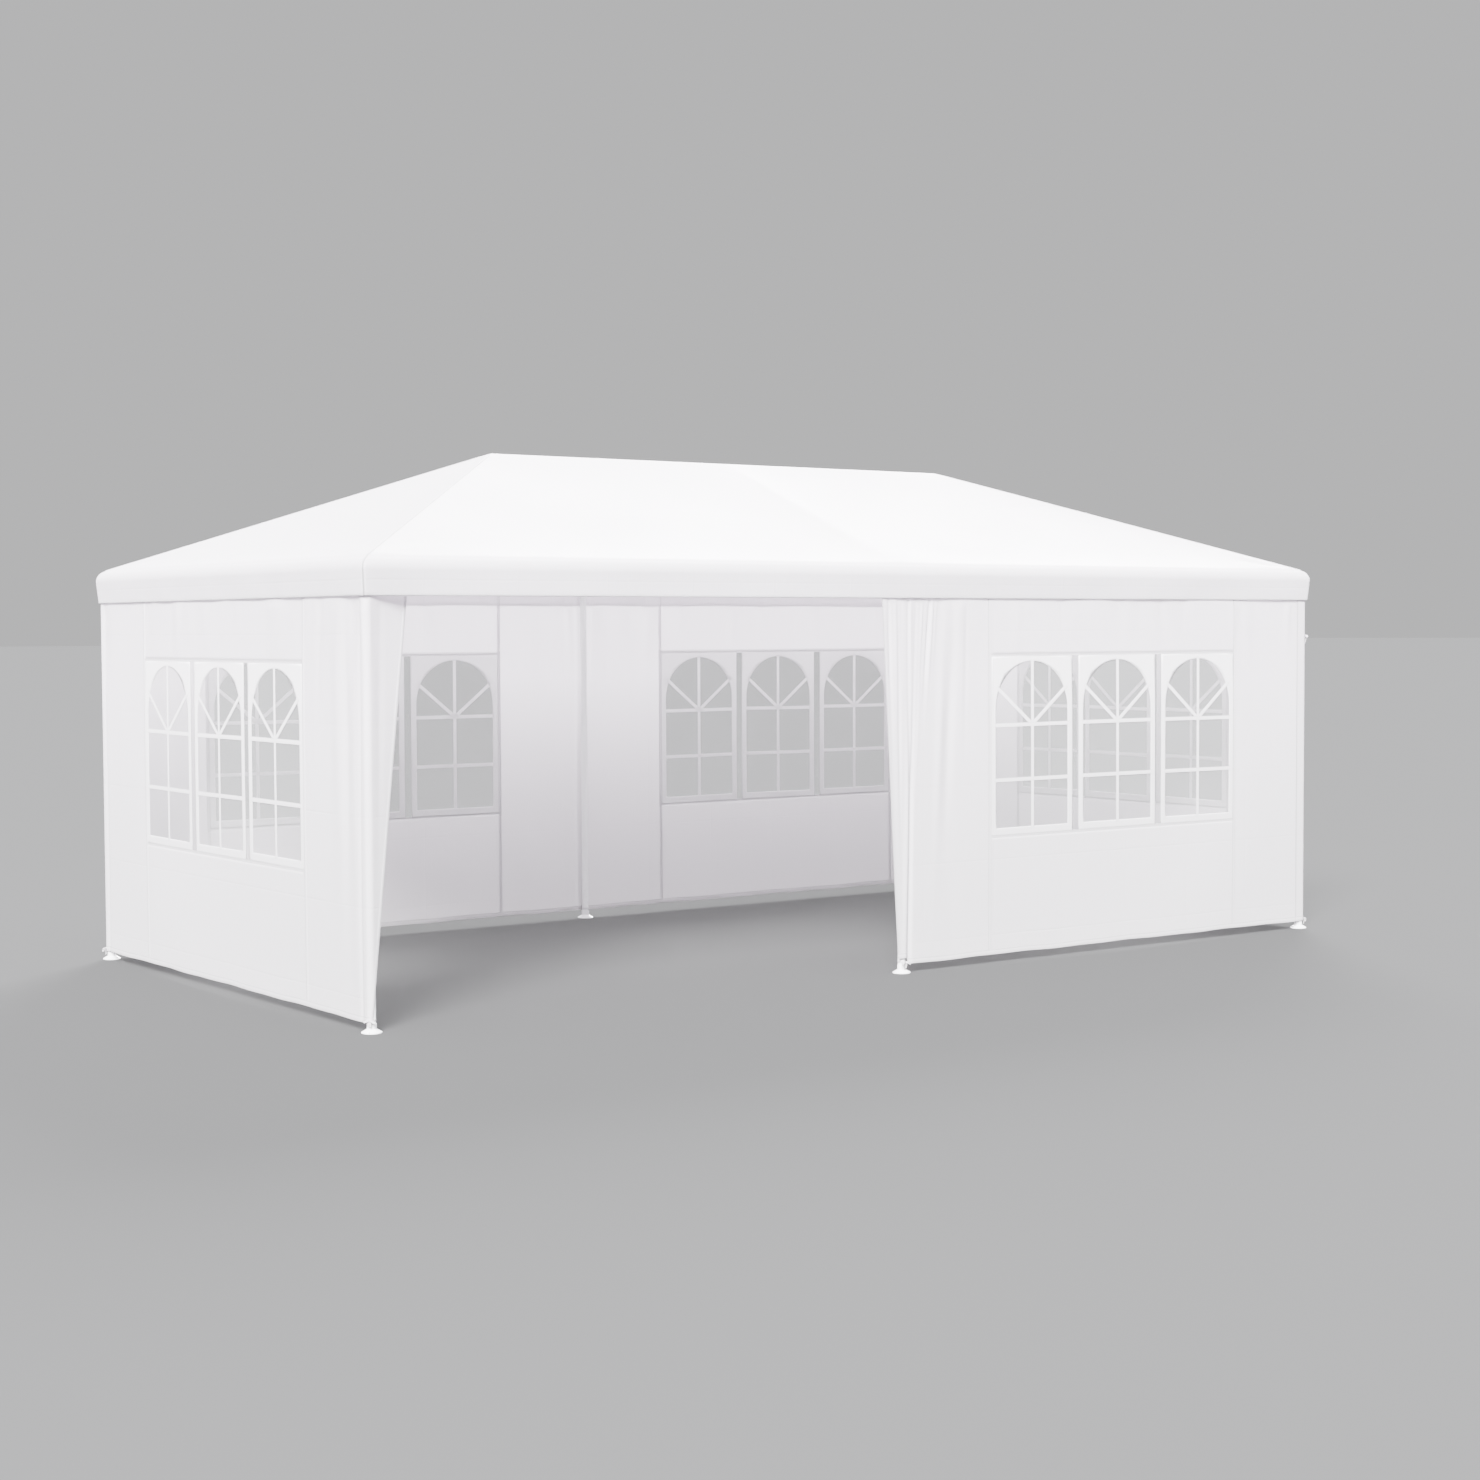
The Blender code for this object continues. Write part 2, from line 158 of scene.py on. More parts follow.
# How a hem hangs: how far that of the flap rises, where its rise starts and the run that it takes, two waves
# as size and pace, the height below which the hem moves the cloth, and the height over which that eases in
FLAP_HEM_RISE = 0.030
FLAP_HEM_START = 0.034
FLAP_HEM_RUN = 0.022
HEM_WAVES = ((0.0015, 7.3), (0.0010, 17.1))
HEM_REACH = 0.36
HEM_EASING = 0.30

# Creases as run from a leg under the valance, run from it at the hem, height where deepest, reach up and
# down, width, and size as a share of a fold's depth: those of the free flap, then those by the wrapped leg
FLAP_CREASES = (
    (0.074, 0.024, 0.50, 0.72, 0.0085, -1.9),
    (0.045, 0.000, 0.65, 0.90, 0.0150, 0.8),
    (0.169, 0.010, 1.66, 0.20, 0.0070, -1.3),
    (0.128, 0.010, 1.56, 0.30, 0.0090, -0.7),
    (0.330, 0.235, 1.30, 0.42, 0.0300, -1.3),
    (0.265, 0.180, 1.20, 0.55, 0.0260, 0.8),
    (-0.040, -0.010, 1.30, 0.50, 0.0100, -0.8),
    (0.410, 0.380, 1.55, 0.35, 0.0160, -0.5),
)
WRAP_CREASES = (
    (-0.160, -0.150, 1.25, 0.55, 0.0300, -1.1),
    (-0.240, -0.220, 1.35, 0.60, 0.0450, 0.7),
    (-0.085, -0.080, 1.10, 0.90, 0.0260, 0.4),
    (0.100, 0.060, 1.40, 0.60, 0.0220, -0.5),
)

# Creases drawn at random: how many, how far past a leg, reach up and down, width, and largest size and lean.
# The fine ones lie round the flap's leg: their last run, lowest height, and the pull that lets them hang.
SLACK_CREASES = (26, 0.10, (0.10, 0.45), (0.02, 0.055), 0.9, 0.10)
LEG_CREASES = (6, 0.42, (0.9, 2.4), (0.03, 0.06), 0.4, 0.03)
FINE_CREASES = (14, 0.12, (0.14, 0.50), (0.006, 0.011), 1.0, 0.0)
FINE_CREASE_END = 0.10
FINE_CREASE_FOOT = 1.40
FINE_CREASE_PULL = 0.25

# Fullness of a wall's billow, as the power of its sine up the wall
BILLOW_POWER = 0.7

# The upright crease beside each leg, with its wander as size and pace, and how near a leg the cloth can't go
# inwards
LEG_CREASE_RUN = 0.034
LEG_CREASE_WANDER = (0.006, 3)
LEG_CREASE_WIDTH = 0.010
LEG_CREASE_SIZE = 0.8
LEG_NEARNESS = 0.018

# How far the cloth may swell in and out behind the valance, and how that limit comes in below its hem
HEAD_SWELL = (-0.003, 0.0012)
HEAD_START = 0.05
HEAD_EASING = 0.04

# Lights of a window block: widths of the sewn frame, drops of the level bars below the block's top, reach and
# drop of the diagonals, how far bars lap over the frame, and how far sewing skews a frame: run, rise and tilt
FRAME_SIDE = 0.035
FRAME_TOP = 0.030
FRAME_FOOT = 0.040
BAR_DROPS = (0.356, 0.638)
DIAGONAL_REACH = 0.248
DIAGONAL_DROP = 0.157
BAR_LAP = 0.012
BAR_STAGGER = 0.00015
SEWING_SKEW = 0.0022
SKEW_RISE = 0.6
SKEW_TILT = 4

# Points of a frame's grid on the three stretches of its arch, up a side, along its foot and from the opening
# to the edge, and points along a bar
ARCH_POINTS = (9, 19, 9)
SIDE_POINTS = 19
FOOT_POINTS = 15
FRAME_ROWS = 7
BAR_POINTS = 25

# Layers of a wall, as lifts outwards from its middle surface
FILM_LIFT = -0.0014
BAR_LIFT = 0.0012
SEAM_LIFT = 0.0005

# Seams: soft edge of a tape, how far seams reach over the window block, how far they end from the wall's foot
# and head, a hem's thickness as a share of a seam's, its lift at the foot, and widths of painted shade lines
TAPE_EDGE = 0.002
SEAM_INSET = 0.004
SEAM_END = 0.002
HEM_FULLNESS = 1.1
FOOT_HEM_LIFT = SEAM_LIFT * 0.8
SEAM_SHADE = 0.0085
TRIM_SHADE = 0.0030

# Seams round the window block and along a side edge: width and thickness as shares of the felled seam's
BLOCK_SEAM = (0.6, 0.9)
EDGE_SEAM = (0.7, 0.85)

# Ties: ribbon bows at the legs, and straps that hang the walls on the eave rails
HIGH_TIE = 1.67
LOW_TIE = 0.056
FOOT_TOP = 0.020
HIGH_TIED_LEGS = ("leg_front_right", "leg_back_right")
BOW_STAND_OFF = WALL_OFFSET + LAP_LIFT + 0.002
KNOT_STAND_OFF = 0.0035
KNOT_RADIUS = 0.0028
RING_RADIUS = LEG_RADIUS + 0.0008
STRAPS_ACROSS = 5
STRAP_RADIUS = RAIL_RADIUS + 0.0012
STRAP_SEWN_AT = WALL_TOP - 0.022
STRAP_INSET = 0.0030
STRAP_OVERLAP = (-0.0008, -0.0004)

# How bows differ: length and droop of a loop, length of a tail and pace of its wave sideways
LOOP_LENGTHS = (0.85, 1.15)
LOOP_DROOPS = (0.15, 0.45)
TAIL_LENGTHS = (0.7, 1.0)
TAIL_PACES = (4, 6)

# Shape of every bow: the knot's width as a share of the ribbon's, then, as shares of their own lengths, how
# far a loop stands out and a tail swings and waves sideways and, at a pace, outwards, with the twist of both
KNOT_WIDTH = 0.7
LOOP_STAND = 0.24
LOOP_TWIST = 0.35
TAIL_SWING = 0.20
TAIL_WAVE = 0.08
TAIL_CURL = (0.05, 5)
TAIL_TWIST = 0.4

# Points across a ribbon and a hip seam, round a knot or a loop, down a tail, round a leg and round a rail
RIBBON_POINTS = 4
SEAM_POINTS = 5
LOOP_POINTS = 25
TAIL_POINTS = 14
RING_POINTS = 33
STRAP_POINTS = 26

# Points nearer than this become one, and edges of tapes and bars that turn by more than this stay sharp
MERGE_DISTANCE = 1e-6
SHARP_EDGE = math.radians(50)

# Grid spacing, and how far past its legs a wall's grid may reach
FLAP_STEP = 0.0055
FINE_STEP = 0.009
WIDE_STEP = 0.022
GRID_REACH = 0.28
ARC_STEP = CORNER_ARC / 8

# Cloth finishes: pitch of the weave, streaks to a metre across and up, packing folds as place and pitch,
# their width, and the stitches as pitch, share of it that shows, and inset and width of their row
WEAVE_PITCH = 0.0026
STREAKS = (42.0, 1.3, 1.0)
FOLD_PLACES = ((0.11, 0.47), (0.05, 0.39))
FOLD_WIDTH = 0.006
STITCH = 0.0042
STITCH_SHARE = 0.72
THREAD_INSET = 0.005
THREAD_WIDTH = 0.0014

# Heights of the finishes' reliefs
WEAVE_RELIEF = 0.00005
CRUMPLE_RELIEF = 0.0016
STREAK_RELIEF = 0.0006
FOLD_RELIEF = 0.0008
THREAD_RELIEF = 0.0005
RIPPLE_RELIEF = 0.0011
PEEL_RELIEF = 0.00006
GRAIN_RELIEF = 0.00005
MOULDING_RELIEF = 0.0002

# Darker tones of the finishes as factors of their colours, and the colour of scuffs. The fold, foot and
# turned edge tones are painted shade, and the thread's tone is partly painted shade in its stitch holes
STREAK_TONE = 0.94
FOLD_SHADE_TONE = 0.90
FOOT_SHADE_TONE = 0.57
SOIL_TONE = (0.78, 0.77, 0.72)
THREAD_AND_SHADE_TONE = 0.66
EDGE_SHADE_TONE = 0.35
UNEVEN_TONE = 0.93
FLOOR_TONE = 0.95
SCUFF_COLOUR = (0.42, 0.42, 0.40)

# Heights up to which the cloth's foot is darkened by painted shade and soiled, and the steel is scuffed
FOOT_SHADE_REACH = 1.45
SOIL_REACH = 0.22
SCUFF_REACH = 0.45

# Where the lights come from, and the heights of a view's direction between which backdrop turns into dome
FRONT_LIGHT = (-0.585, -0.54, 0.605)
BACK_LIGHT = (0.64, 0.66, 0.47)
BACKDROP_TOP = 0.36
DOME_FOOT = 0.62


def length_setting(name, description, default):
    """A length that a user may change."""
    return FloatProperty(name=name, description=description, default=default, unit="LENGTH")


def share_setting(name, description, default):
    """A share that a user may change."""
    return FloatProperty(name=name, description=description, default=default, subtype="FACTOR")


def angle_setting(name, description, degrees):
    """An angle that a user may change."""
    return FloatProperty(name=name, description=description, default=math.radians(degrees), unit="ROTATION")


def colour_setting(name, description, default):
    """A colour that a user may change."""
    return FloatVectorProperty(name=name, description=description, default=default, subtype="COLOR")


class MarqueeCloth(bpy.types.PropertyGroup):
    """Sizes of the cover, the walls and what is sewn on them."""

    thickness: length_setting("Cloth thickness", "Thickness of the woven sheeting", 0.0010)
    roof_sag: length_setting("Roof sag", "How far a roof panel hangs below the line between its tubes", 0.032)
    valance_wave: length_setting("Valance wave", "Swell of the valance at its hem", 0.0035)
    valance_hem: length_setting("Valance hem", "Width of the valance's turned hem", 0.016)
    fold_depth: length_setting("Fold depth", "Depth of the soft upright folds of a wall", 0.0068)
    billow: length_setting("Billow", "Swell of a wall between its legs", 0.006)
    seam_width: length_setting("Seam width", "Width of the felled seams", 0.021)
    hem_width: length_setting("Hem width", "Width of the turned hems", 0.026)
    seam_thickness: length_setting("Seam thickness", "Thickness of a seam or hem", 0.0024)


class MarqueeWindows(bpy.types.PropertyGroup):
    """Sizes of the windows."""

    lights: IntProperty(name="Lights", description="Arched lights in a window block", default=3)
    clear_strip: length_setting("Clear strip", "Bare film between two lights", 0.043)
    bar_width: length_setting("Bar width", "Width of the glazing bars", 0.020)
    bar_thickness: length_setting("Bar thickness", "Thickness of the glazing bars", 0.0010)
    frame_thickness: length_setting("Frame thickness", "Thickness of the sewn frames", 0.0016)
    film_thickness: length_setting("Film thickness", "Thickness of the clear film", 0.0003)
    film_ripple: length_setting("Film ripple", "Depth of the film's ripples", 0.0014)


class MarqueeTies(bpy.types.PropertyGroup):
    """Sizes of the ribbon ties and straps."""

    ribbon_width: length_setting("Ribbon width", "Width of the tying ribbon", 0.009)
    ribbon_thickness: length_setting("Ribbon thickness", "Thickness of the tying ribbon", 0.0006)
    loop_length: length_setting("Loop length", "Length of each loop of a bow", 0.026)
    tail_length: length_setting("Tail length", "Length of each tail of a bow", 0.048)
    strap_width: length_setting("Strap width", "Width of the straps on the eave rails", 0.020)


class MarqueeFinishes(bpy.types.PropertyGroup):
    """Colours of the finishes, and the share of light that passes each kind of cloth."""

    cover_colour: colour_setting("Cover", "Colour of the roof sheeting", (0.885, 0.86, 0.89))
    wall_colour: colour_setting("Walls", "Colour of the wall sheeting", (0.90, 0.870, 0.905))
    trim_colour: colour_setting("Trim", "Colour of frames, bars and ties", (0.92, 0.895, 0.925))
    film_colour: colour_setting("Film", "Colour of the clear film", (0.86, 0.865, 0.875))
    steel_colour: colour_setting("Steel", "Colour of the coated tubes", (0.80, 0.80, 0.81))
    plastic_colour: colour_setting("Joints", "Colour of the moulded joints", (0.76, 0.76, 0.77))
    film_alpha: share_setting("Film opacity", "Opacity of each face of the film", 0.07)
    cover_glow: share_setting("Cover glow", "Share of light that the roof lets through", 0.52)
    wall_glow: share_setting("Wall glow", "Share of light that the walls let through", 0.54)
    seam_glow: share_setting("Seam glow", "Share of light that seams and hems let through", 0.40)
    trim_glow: share_setting("Trim glow", "Share of light that frames and ribbon let through", 0.26)


class MarqueeStudio(bpy.types.PropertyGroup):
    """Camera, floor and light."""

    lens: FloatProperty(name="Lens", description="Focal length", default=58.63, unit="CAMERA")
    camera_place: FloatVectorProperty(
        name="Camera",
        description="Place of the camera",
        default=(-7.701, -10.708, 1.717),
        subtype="TRANSLATION",
    )
    camera_yaw: angle_setting("Yaw", "Turn of the view from +Y towards +X", 36.003)
    camera_pitch: angle_setting("Pitch", "Tilt of the view upwards", -2.613)
    camera_roll: angle_setting("Roll", "Turn of the picture", -0.269)
    floor_size: length_setting("Floor", "Side of the floor", 600.0)
    floor_colour: colour_setting("Floor colour", "Colour of the floor", (0.037, 0.037, 0.0375))
    floor_glow: FloatProperty(
        name="Floor glow", description="Strength of the floor's own light, which softens shadows", default=4.0
    )
    backdrop_light: colour_setting("Backdrop", "Light of the dome's lower part", (0.64, 0.64, 0.648))
    dome_light: colour_setting("Dome", "Light of the dome's upper part", (0.97, 0.985, 1.0))
    dome_strength: FloatProperty(
        name="Dome strength", description="Strength of the dome's upper part", default=6.5
    )
    key_strength: FloatProperty(name="Key light", description="Strength of the main light", default=34.0)
    back_share: share_setting("Back light", "Strength of the back light as a share of the key light", 0.92)
    light_softness: angle_setting("Softness", "Angle that each light fills", 24)


def smooth(share):
    """0 up to 0, 1 from 1 on, and between them the cubic that starts and ends level."""
    share = np.clip(share, 0, 1)
    return share * share * (3 - 2 * share)


def bell(distance, width):
    """The Gaussian of a distance: 1 in the middle, about a third at one width."""
    return np.exp(-((distance / width) ** 2))


def steps(low, high, spacing):
    """Even places from low to high, about a spacing apart, both ends included."""
    return np.linspace(low, high, max(1, round((high - low) / spacing)) + 1)


def swaying(value, other, pace, sway, sway_pace):
    """The sine of a value at a pace, with a phase that sways as a sine of another value."""
    return np.sin(value * pace + sway * np.sin(other * sway_pace))


def inside(value, low, high):
    """How far a value lies inside a range, and below 0 how far outside it."""
    return np.minimum(value - low, high - value)


def joined(*runs):
    """Rows of places one after the other, each starting where the one before ends."""
    return np.concatenate([runs[0], *(run[1:] for run in runs[1:])])


def together(*numbers):
    """Points from their numbers, each an array or one value for all."""
    return np.stack(np.broadcast_arrays(*numbers), axis=-1)


def travelled(path):
    """The distance along a path at each of its points."""
    return np.concatenate([[0], np.cumsum(np.linalg.norm(np.diff(path, axis=0), axis=-1))])


def grid_faces(rows, columns, closed=False):
    """Quads over a grid of points, rows going up and columns to the right as seen from the outside."""
    index = np.arange(rows * columns).reshape(rows, columns)
    if closed:
        index = np.concatenate([index, index[:, :1]], axis=1)
    corners = (index[:-1, :-1], index[:-1, 1:], index[1:, 1:], index[1:, :-1])
    return np.stack(corners, axis=-1).reshape(-1, 4)


def patch(points, maps, faces=None):
    """A sheet from a grid of points, with all its quads or the faces given. Maps are grids of (u, v) in m."""
    if faces is None:
        faces = grid_faces(*points.shape[:2])
    return points.reshape(-1, 3), faces, [grid.reshape(-1, 2)[faces] for grid in maps]


def closed_strip(rings, maps):
    """A closed strip from rings of points, one a row: the upper side's points, then the lower side's back."""
    count, around = rings.shape[:2]
    side = np.arange(around // 2 - 1)
    cap = together(side, side + 1, around - 2 - side, around - 1 - side)
    last = cap[:, ::-1] + (count - 1) * around
    return patch(rings, maps, np.concatenate([grid_faces(count, around, closed=True), cap, last]))


def mesh_from(name, patches, closed=False):
    """One mesh from patches. Points that coincide are merged, and closed shapes get their faces turned out.

    The first map of each patch is named cloth, for the weave, and the second border, for a sewn edge.
    """
    points = np.concatenate([part[0] for part in patches])
    starts = np.cumsum([0, *(len(part[0]) for part in patches[:-1])])
    faces = np.concatenate([part[1] + start for part, start in zip(patches, starts)])
    mesh = bpy.data.meshes.new(name)
    mesh.vertices.add(len(points))
    mesh.vertices.foreach_set("co", points.astype(np.float32).ravel())
    mesh.loops.add(faces.size)
    mesh.loops.foreach_set("vertex_index", faces.astype(np.int32).ravel())
    mesh.polygons.add(len(faces))
    mesh.polygons.foreach_set("loop_start", np.arange(0, faces.size, 4, dtype=np.int32))
    mesh.update(calc_edges=True)
    for map_name, *maps in zip(("cloth", "border"), *(part[2] for part in patches)):
        layer = mesh.uv_layers.new(name=map_name)
        layer.uv.foreach_set("vector", np.concatenate(maps).astype(np.float32).ravel())
    bm = bmesh.new()
    bm.from_mesh(mesh)
    bmesh.ops.remove_doubles(bm, verts=bm.verts, dist=MERGE_DISTANCE)
    if closed:
        bmesh.ops.recalc_face_normals(bm, faces=bm.faces)
    bm.to_mesh(mesh)
    bm.free()
    mesh.shade_smooth()
    if closed:
        mesh.set_sharp_from_angle(angle=SHARP_EDGE)
    return mesh


def placed(name, data):
    """A new object of the scene."""
    made = bpy.data.objects.new(name, data)
    bpy.context.scene.collection.objects.link(made)
    return made


def add_piece(name, patches, finish, thickness=0.0):
    """A piece that rides on the frame: open sheets that are given a thickness, or else closed strips."""
    mesh = mesh_from(name, patches, closed=not thickness)
    piece = placed(name, mesh)
    mesh.materials.append(finished(finish))
    if thickness:
        solid = piece.modifiers.new("thickness", "SOLIDIFY")
        solid.thickness = thickness
        solid.offset = 0.0
    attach(piece, "root")
    return piece


def seeded_creases(draw, kind, first, last, lowest=VALANCE_BOTTOM, pull=1):
    """Creases of a kind, drawn at random for runs from past the first to past the last.

    They are deepest between the lowest height and the valance's hem. A pull of 1 lets a crease hang straight,
    and 0 would draw its foot to the leg.
    """
    count, past, reach, width, size, lean = kind
    height = (lowest, VALANCE_BOTTOM)
    top = draw.uniform(first - past, last + past, count)
    hem = pull * top + draw.uniform(-lean, lean, count) * (VALANCE_BOTTOM - WALL_HEM)
    rest = (draw.uniform(*bounds, count) for bounds in (height, reach, width, (-size, size)))
    return list(zip(top, hem, *rest))


class Wall:
    """One wall, as a map from run and height to points.

    Run is measured from the axis of the wall's left leg to that of its right leg, as seen from outside. Where
    a wall turns its corners, the run past a leg goes round the leg's axis on an arc and along the next side.
    Each of its side edges is a run at the ground and the growth per metre up.
    """

    def __init__(self, name, legs, rail, edges, seed, flat, laps=(0, 0), corners=False, further=0, chosen=()):
        self.name = name
        self.carriers = ["leg_" + legs[0], "leg_" + legs[1], "eave_rail_" + rail]
        self.nodes = [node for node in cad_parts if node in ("wall_" + name, f"wall_{name}_wrap")]
        start, end = (ground_point(leg) for leg in self.carriers[:2])
        self.length = float(np.linalg.norm(end - start))
        self.start = start
        self.along = (end - start) / self.length
        self.outward = np.array((self.along[1], -self.along[0], 0))
        self.low_edge, self.high_edge = edges
        self.flat, self.laps, self.corners, self.further = flat, laps, corners, further
        self.block = (self.length / 2 - BLOCK_HALF, self.length / 2 + BLOCK_HALF)
        draw = np.random.default_rng(seed)
        self.creases = [*chosen, *seeded_creases(draw, SLACK_CREASES, 0, self.length)]
        for leg in (0, self.length):
            self.creases += seeded_creases(draw, LEG_CREASES, leg, leg)

    def edge_run(self, edge, height):
        """The run of a side edge at a height."""
        return edge[0] + edge[1] * height

    def hang(self, run, height):
        """The height at which cloth cut for a height hangs: the hem waves, and rises beside a free flap."""
        flap = smooth((FLAP_HEM_START - run) / FLAP_HEM_RUN) if self.low_edge[1] else 0 * run
        (slow, slow_pace), (fast, fast_pace) = HEM_WAVES
        wave = slow * np.sin(run * slow_pace + self.length) + fast * np.sin(run * fast_pace)
        return height + (FLAP_HEM_RISE * flap + wave) * smooth((HEM_REACH - height) / HEM_EASING)

    def lap(self, run):
        """How far the cloth lies outside its own plane where an end of it lies over the next wall."""
        ends = (LAP_RUN - run, run - self.length + LAP_RUN)
        return LAP_LIFT * sum(lies_over * smooth(over / LAP_RUN) for over, lies_over in zip(ends, self.laps))

    def loose(self, run):
        """1 where the cloth may fold, and 0 where it lies flat in a lap with the next wall."""
        loose = 1 + 0 * run
        for away, flat in zip((run, self.length - run), self.flat):
            if flat is not None:
                loose = loose * smooth((away - flat) / LAP_EASING)
        return loose

    def swell(self, run, height):
        """Outward swell: a slow billow and a sum of creases, none of which pulls the cloth into a leg.

        The billow is half a sine across and a power of half a sine up. A crease lies along a straight line
        from its run under the valance to its run at the hem. It is a Gaussian across the run, and another up
        and down.
        """
        cloth = bpy.context.scene.marquee_cloth
        across = np.clip(run / self.length, 0, 1)
        up = (height - WALL_HEM) / (WALL_TOP - WALL_HEM)
        total = cloth.billow * np.sin(np.pi * across) * np.sin(np.pi * np.clip(up, 0, 1)) ** BILLOW_POWER
        fall = np.maximum(VALANCE_BOTTOM - height, 0) / (VALANCE_BOTTOM - WALL_HEM)
        pleats = 0 * run
        for under, at_hem, deepest, reach, width, size in self.creases:
            line = under + (at_hem - under) * fall
            pleats = pleats + size * bell(run - line, width) * bell(height - deepest, reach)
        total = total + cloth.fold_depth * pleats * (1 - FILM_STIFFNESS * self.film_share(run, height))
        wander, pace = LEG_CREASE_WANDER
        for away in (run, self.length - run):
            beside = away - LEG_CREASE_RUN - wander * np.sin(height * pace)
            total = total - LEG_CREASE_SIZE * cloth.fold_depth * bell(beside, LEG_CREASE_WIDTH)
            near = bell(away, LEG_NEARNESS)
            total = total * (1 - near) + np.maximum(total, 0) * near
        head = smooth((height - VALANCE_BOTTOM + HEAD_START) / HEAD_EASING)
        return self.loose(run) * (total * (1 - head) + np.clip(total, *HEAD_SWELL) * head)

    def film_share(self, run, height):
        """1 in the window block, where film and frames stiffen the cloth, and 0 well outside it."""
        across = np.maximum(-inside(run, *self.block), 0)
        up = np.maximum(-inside(height, BLOCK_LOW, BLOCK_HIGH), 0)
        return 1 - smooth(np.hypot(across, up) / STIFF_REACH)

    def point(self, run, height, lift=0.0):
        """Points at runs and heights, lifted outwards from the cloth's middle surface."""
        run, height, lift = np.broadcast_arrays(run, height, lift)
        straight = np.clip(run, 0.0, self.length) if self.corners else run
        over = run - straight
        arc = np.clip(over, -CORNER_ARC, CORNER_ARC + self.further)
        turn = (arc / WALL_OFFSET)[..., None]
        outward = np.cos(turn) * self.outward + np.sin(turn) * self.along
        along = np.cos(turn) * self.along - np.sin(turn) * self.outward
        offset = WALL_OFFSET + self.lap(run) + self.swell(run, height) + lift
        points = self.start + straight[..., None] * self.along
        points = points + offset[..., None] * outward + (over - arc)[..., None] * along
        points[..., 2] = self.hang(run, height)
        return points


def make_walls():
    """The five walls. The end walls turn both corners and lap over their neighbours."""
    bay = middle("leg_front_right").x - middle("leg_front_middle").x
    low, high = (-CORNER_ARC - CORNER_LAP, 0), (bay + CORNER_ARC + CORNER_LAP, 0)
    wrap = (bay + CORNER_ARC + WRAP_EDGE[0], WRAP_EDGE[1])
    under = CORNER_LAP + LAP_MARGIN
    draw = np.random.default_rng(seed=31)
    fine = seeded_creases(draw, FINE_CREASES, 0, FINE_CREASE_END, FINE_CREASE_FOOT, FINE_CREASE_PULL)
    beside = [(bay + top, bay + at_hem, *rest) for top, at_hem, *rest in WRAP_CREASES]
    return [
        Wall(
            "front_right", ("front_middle", "front_right"), "front_right", (FLAP_EDGE, (bay, 0)),
            seed=11, flat=(None, under), chosen=[*FLAP_CREASES, *fine],
        ),
        Wall(
            "right", ("front_right", "back_right"), "right_end", (low, high),
            seed=12, flat=(0, 0), laps=(1, 1), corners=True,
        ),
        Wall(
            "back_right", ("back_right", "back_middle"), "back_right", ((0, 0), (bay, 0)),
            seed=13, flat=(under, MIDDLE_LAP + LAP_MARGIN),
        ),
        Wall(
            "back_left", ("back_middle", "back_left"), "back_left", ((-MIDDLE_LAP, 0), (bay, 0)),
            seed=14, flat=(0, under), laps=(1, 0),
        ),
        Wall(
            "left", ("back_left", "front_left"), "left_end", (low, wrap),
            seed=15, flat=(0, None), laps=(1, 0), corners=True, further=WRAP_TURN * WALL_OFFSET,
            chosen=beside,
        ),
    ]


WALLS = make_walls()


def wall_grid(wall):
    """Runs and heights of a wall's grid, clipped to its side edges, and the quads that aren't windows."""
    near_flap = FLAP_STEP if wall.low_edge[1] else FINE_STEP
    far_arc = CORNER_ARC + wall.further
    levels = (WALL_HEM, BLOCK_LOW, BLOCK_HIGH, WALL_TOP)
    heights = joined(*(steps(low, high, WIDE_STEP) for low, high in zip(levels, levels[1:])))
    runs = joined(
        steps(-GRID_REACH, -CORNER_ARC, near_flap),
        steps(-CORNER_ARC, 0, ARC_STEP),
        steps(0, wall.block[0], near_flap),
        steps(*wall.block, WIDE_STEP),
        steps(wall.block[1], wall.length, FINE_STEP),
        steps(wall.length, wall.length + far_arc, ARC_STEP),
        steps(wall.length + far_arc, wall.length + GRID_REACH, FINE_STEP),
    )
    run, height = np.meshgrid(runs, heights)
    run = np.clip(run, wall.edge_run(wall.low_edge, height), wall.edge_run(wall.high_edge, height))
    across = inside((runs[1:] + runs[:-1]) / 2, *wall.block)
    up = inside((heights[1:] + heights[:-1]) / 2, BLOCK_LOW, BLOCK_HIGH)
    return run, height, grid_faces(*run.shape)[np.minimum.outer(up, across).ravel() < 0]


def tape(wall, runs, heights, width, thickness, lift):
    """A flat tape sewn along a line on a wall: a soft-edged section carried along the line.

    The section is a strip of the width whose two faces close to half the thickness at its edges. It is laid
    square to the line in the wall's own run and height, and lifted by the wall's map.
    """
    runs, heights = np.broadcast_arrays(runs, heights)
    run_step, height_step = np.gradient(runs), np.gradient(heights)
    pace = np.hypot(run_step, height_step)
    edge = min(TAPE_EDGE, width / 5)
    half = np.array((-width / 2, -width / 2 + edge, 0, width / 2 - edge, width / 2))
    proud = np.array((0.25, 0.5, 0.5, 0.5, 0.25)) * thickness
    across = np.concatenate([half, half[::-1]])
    run = runs[:, None] - (height_step / pace)[:, None] * across
    height = heights[:, None] + (run_step / pace)[:, None] * across
    points = wall.point(run, height, lift + np.concatenate([proud, -proud[::-1]]))
    along = travelled(together(runs, heights))[:, None]
    sideways = across + width / 2 + 0 * along
    return closed_strip(points, [together(along, sideways), together(sideways, width - sideways)])


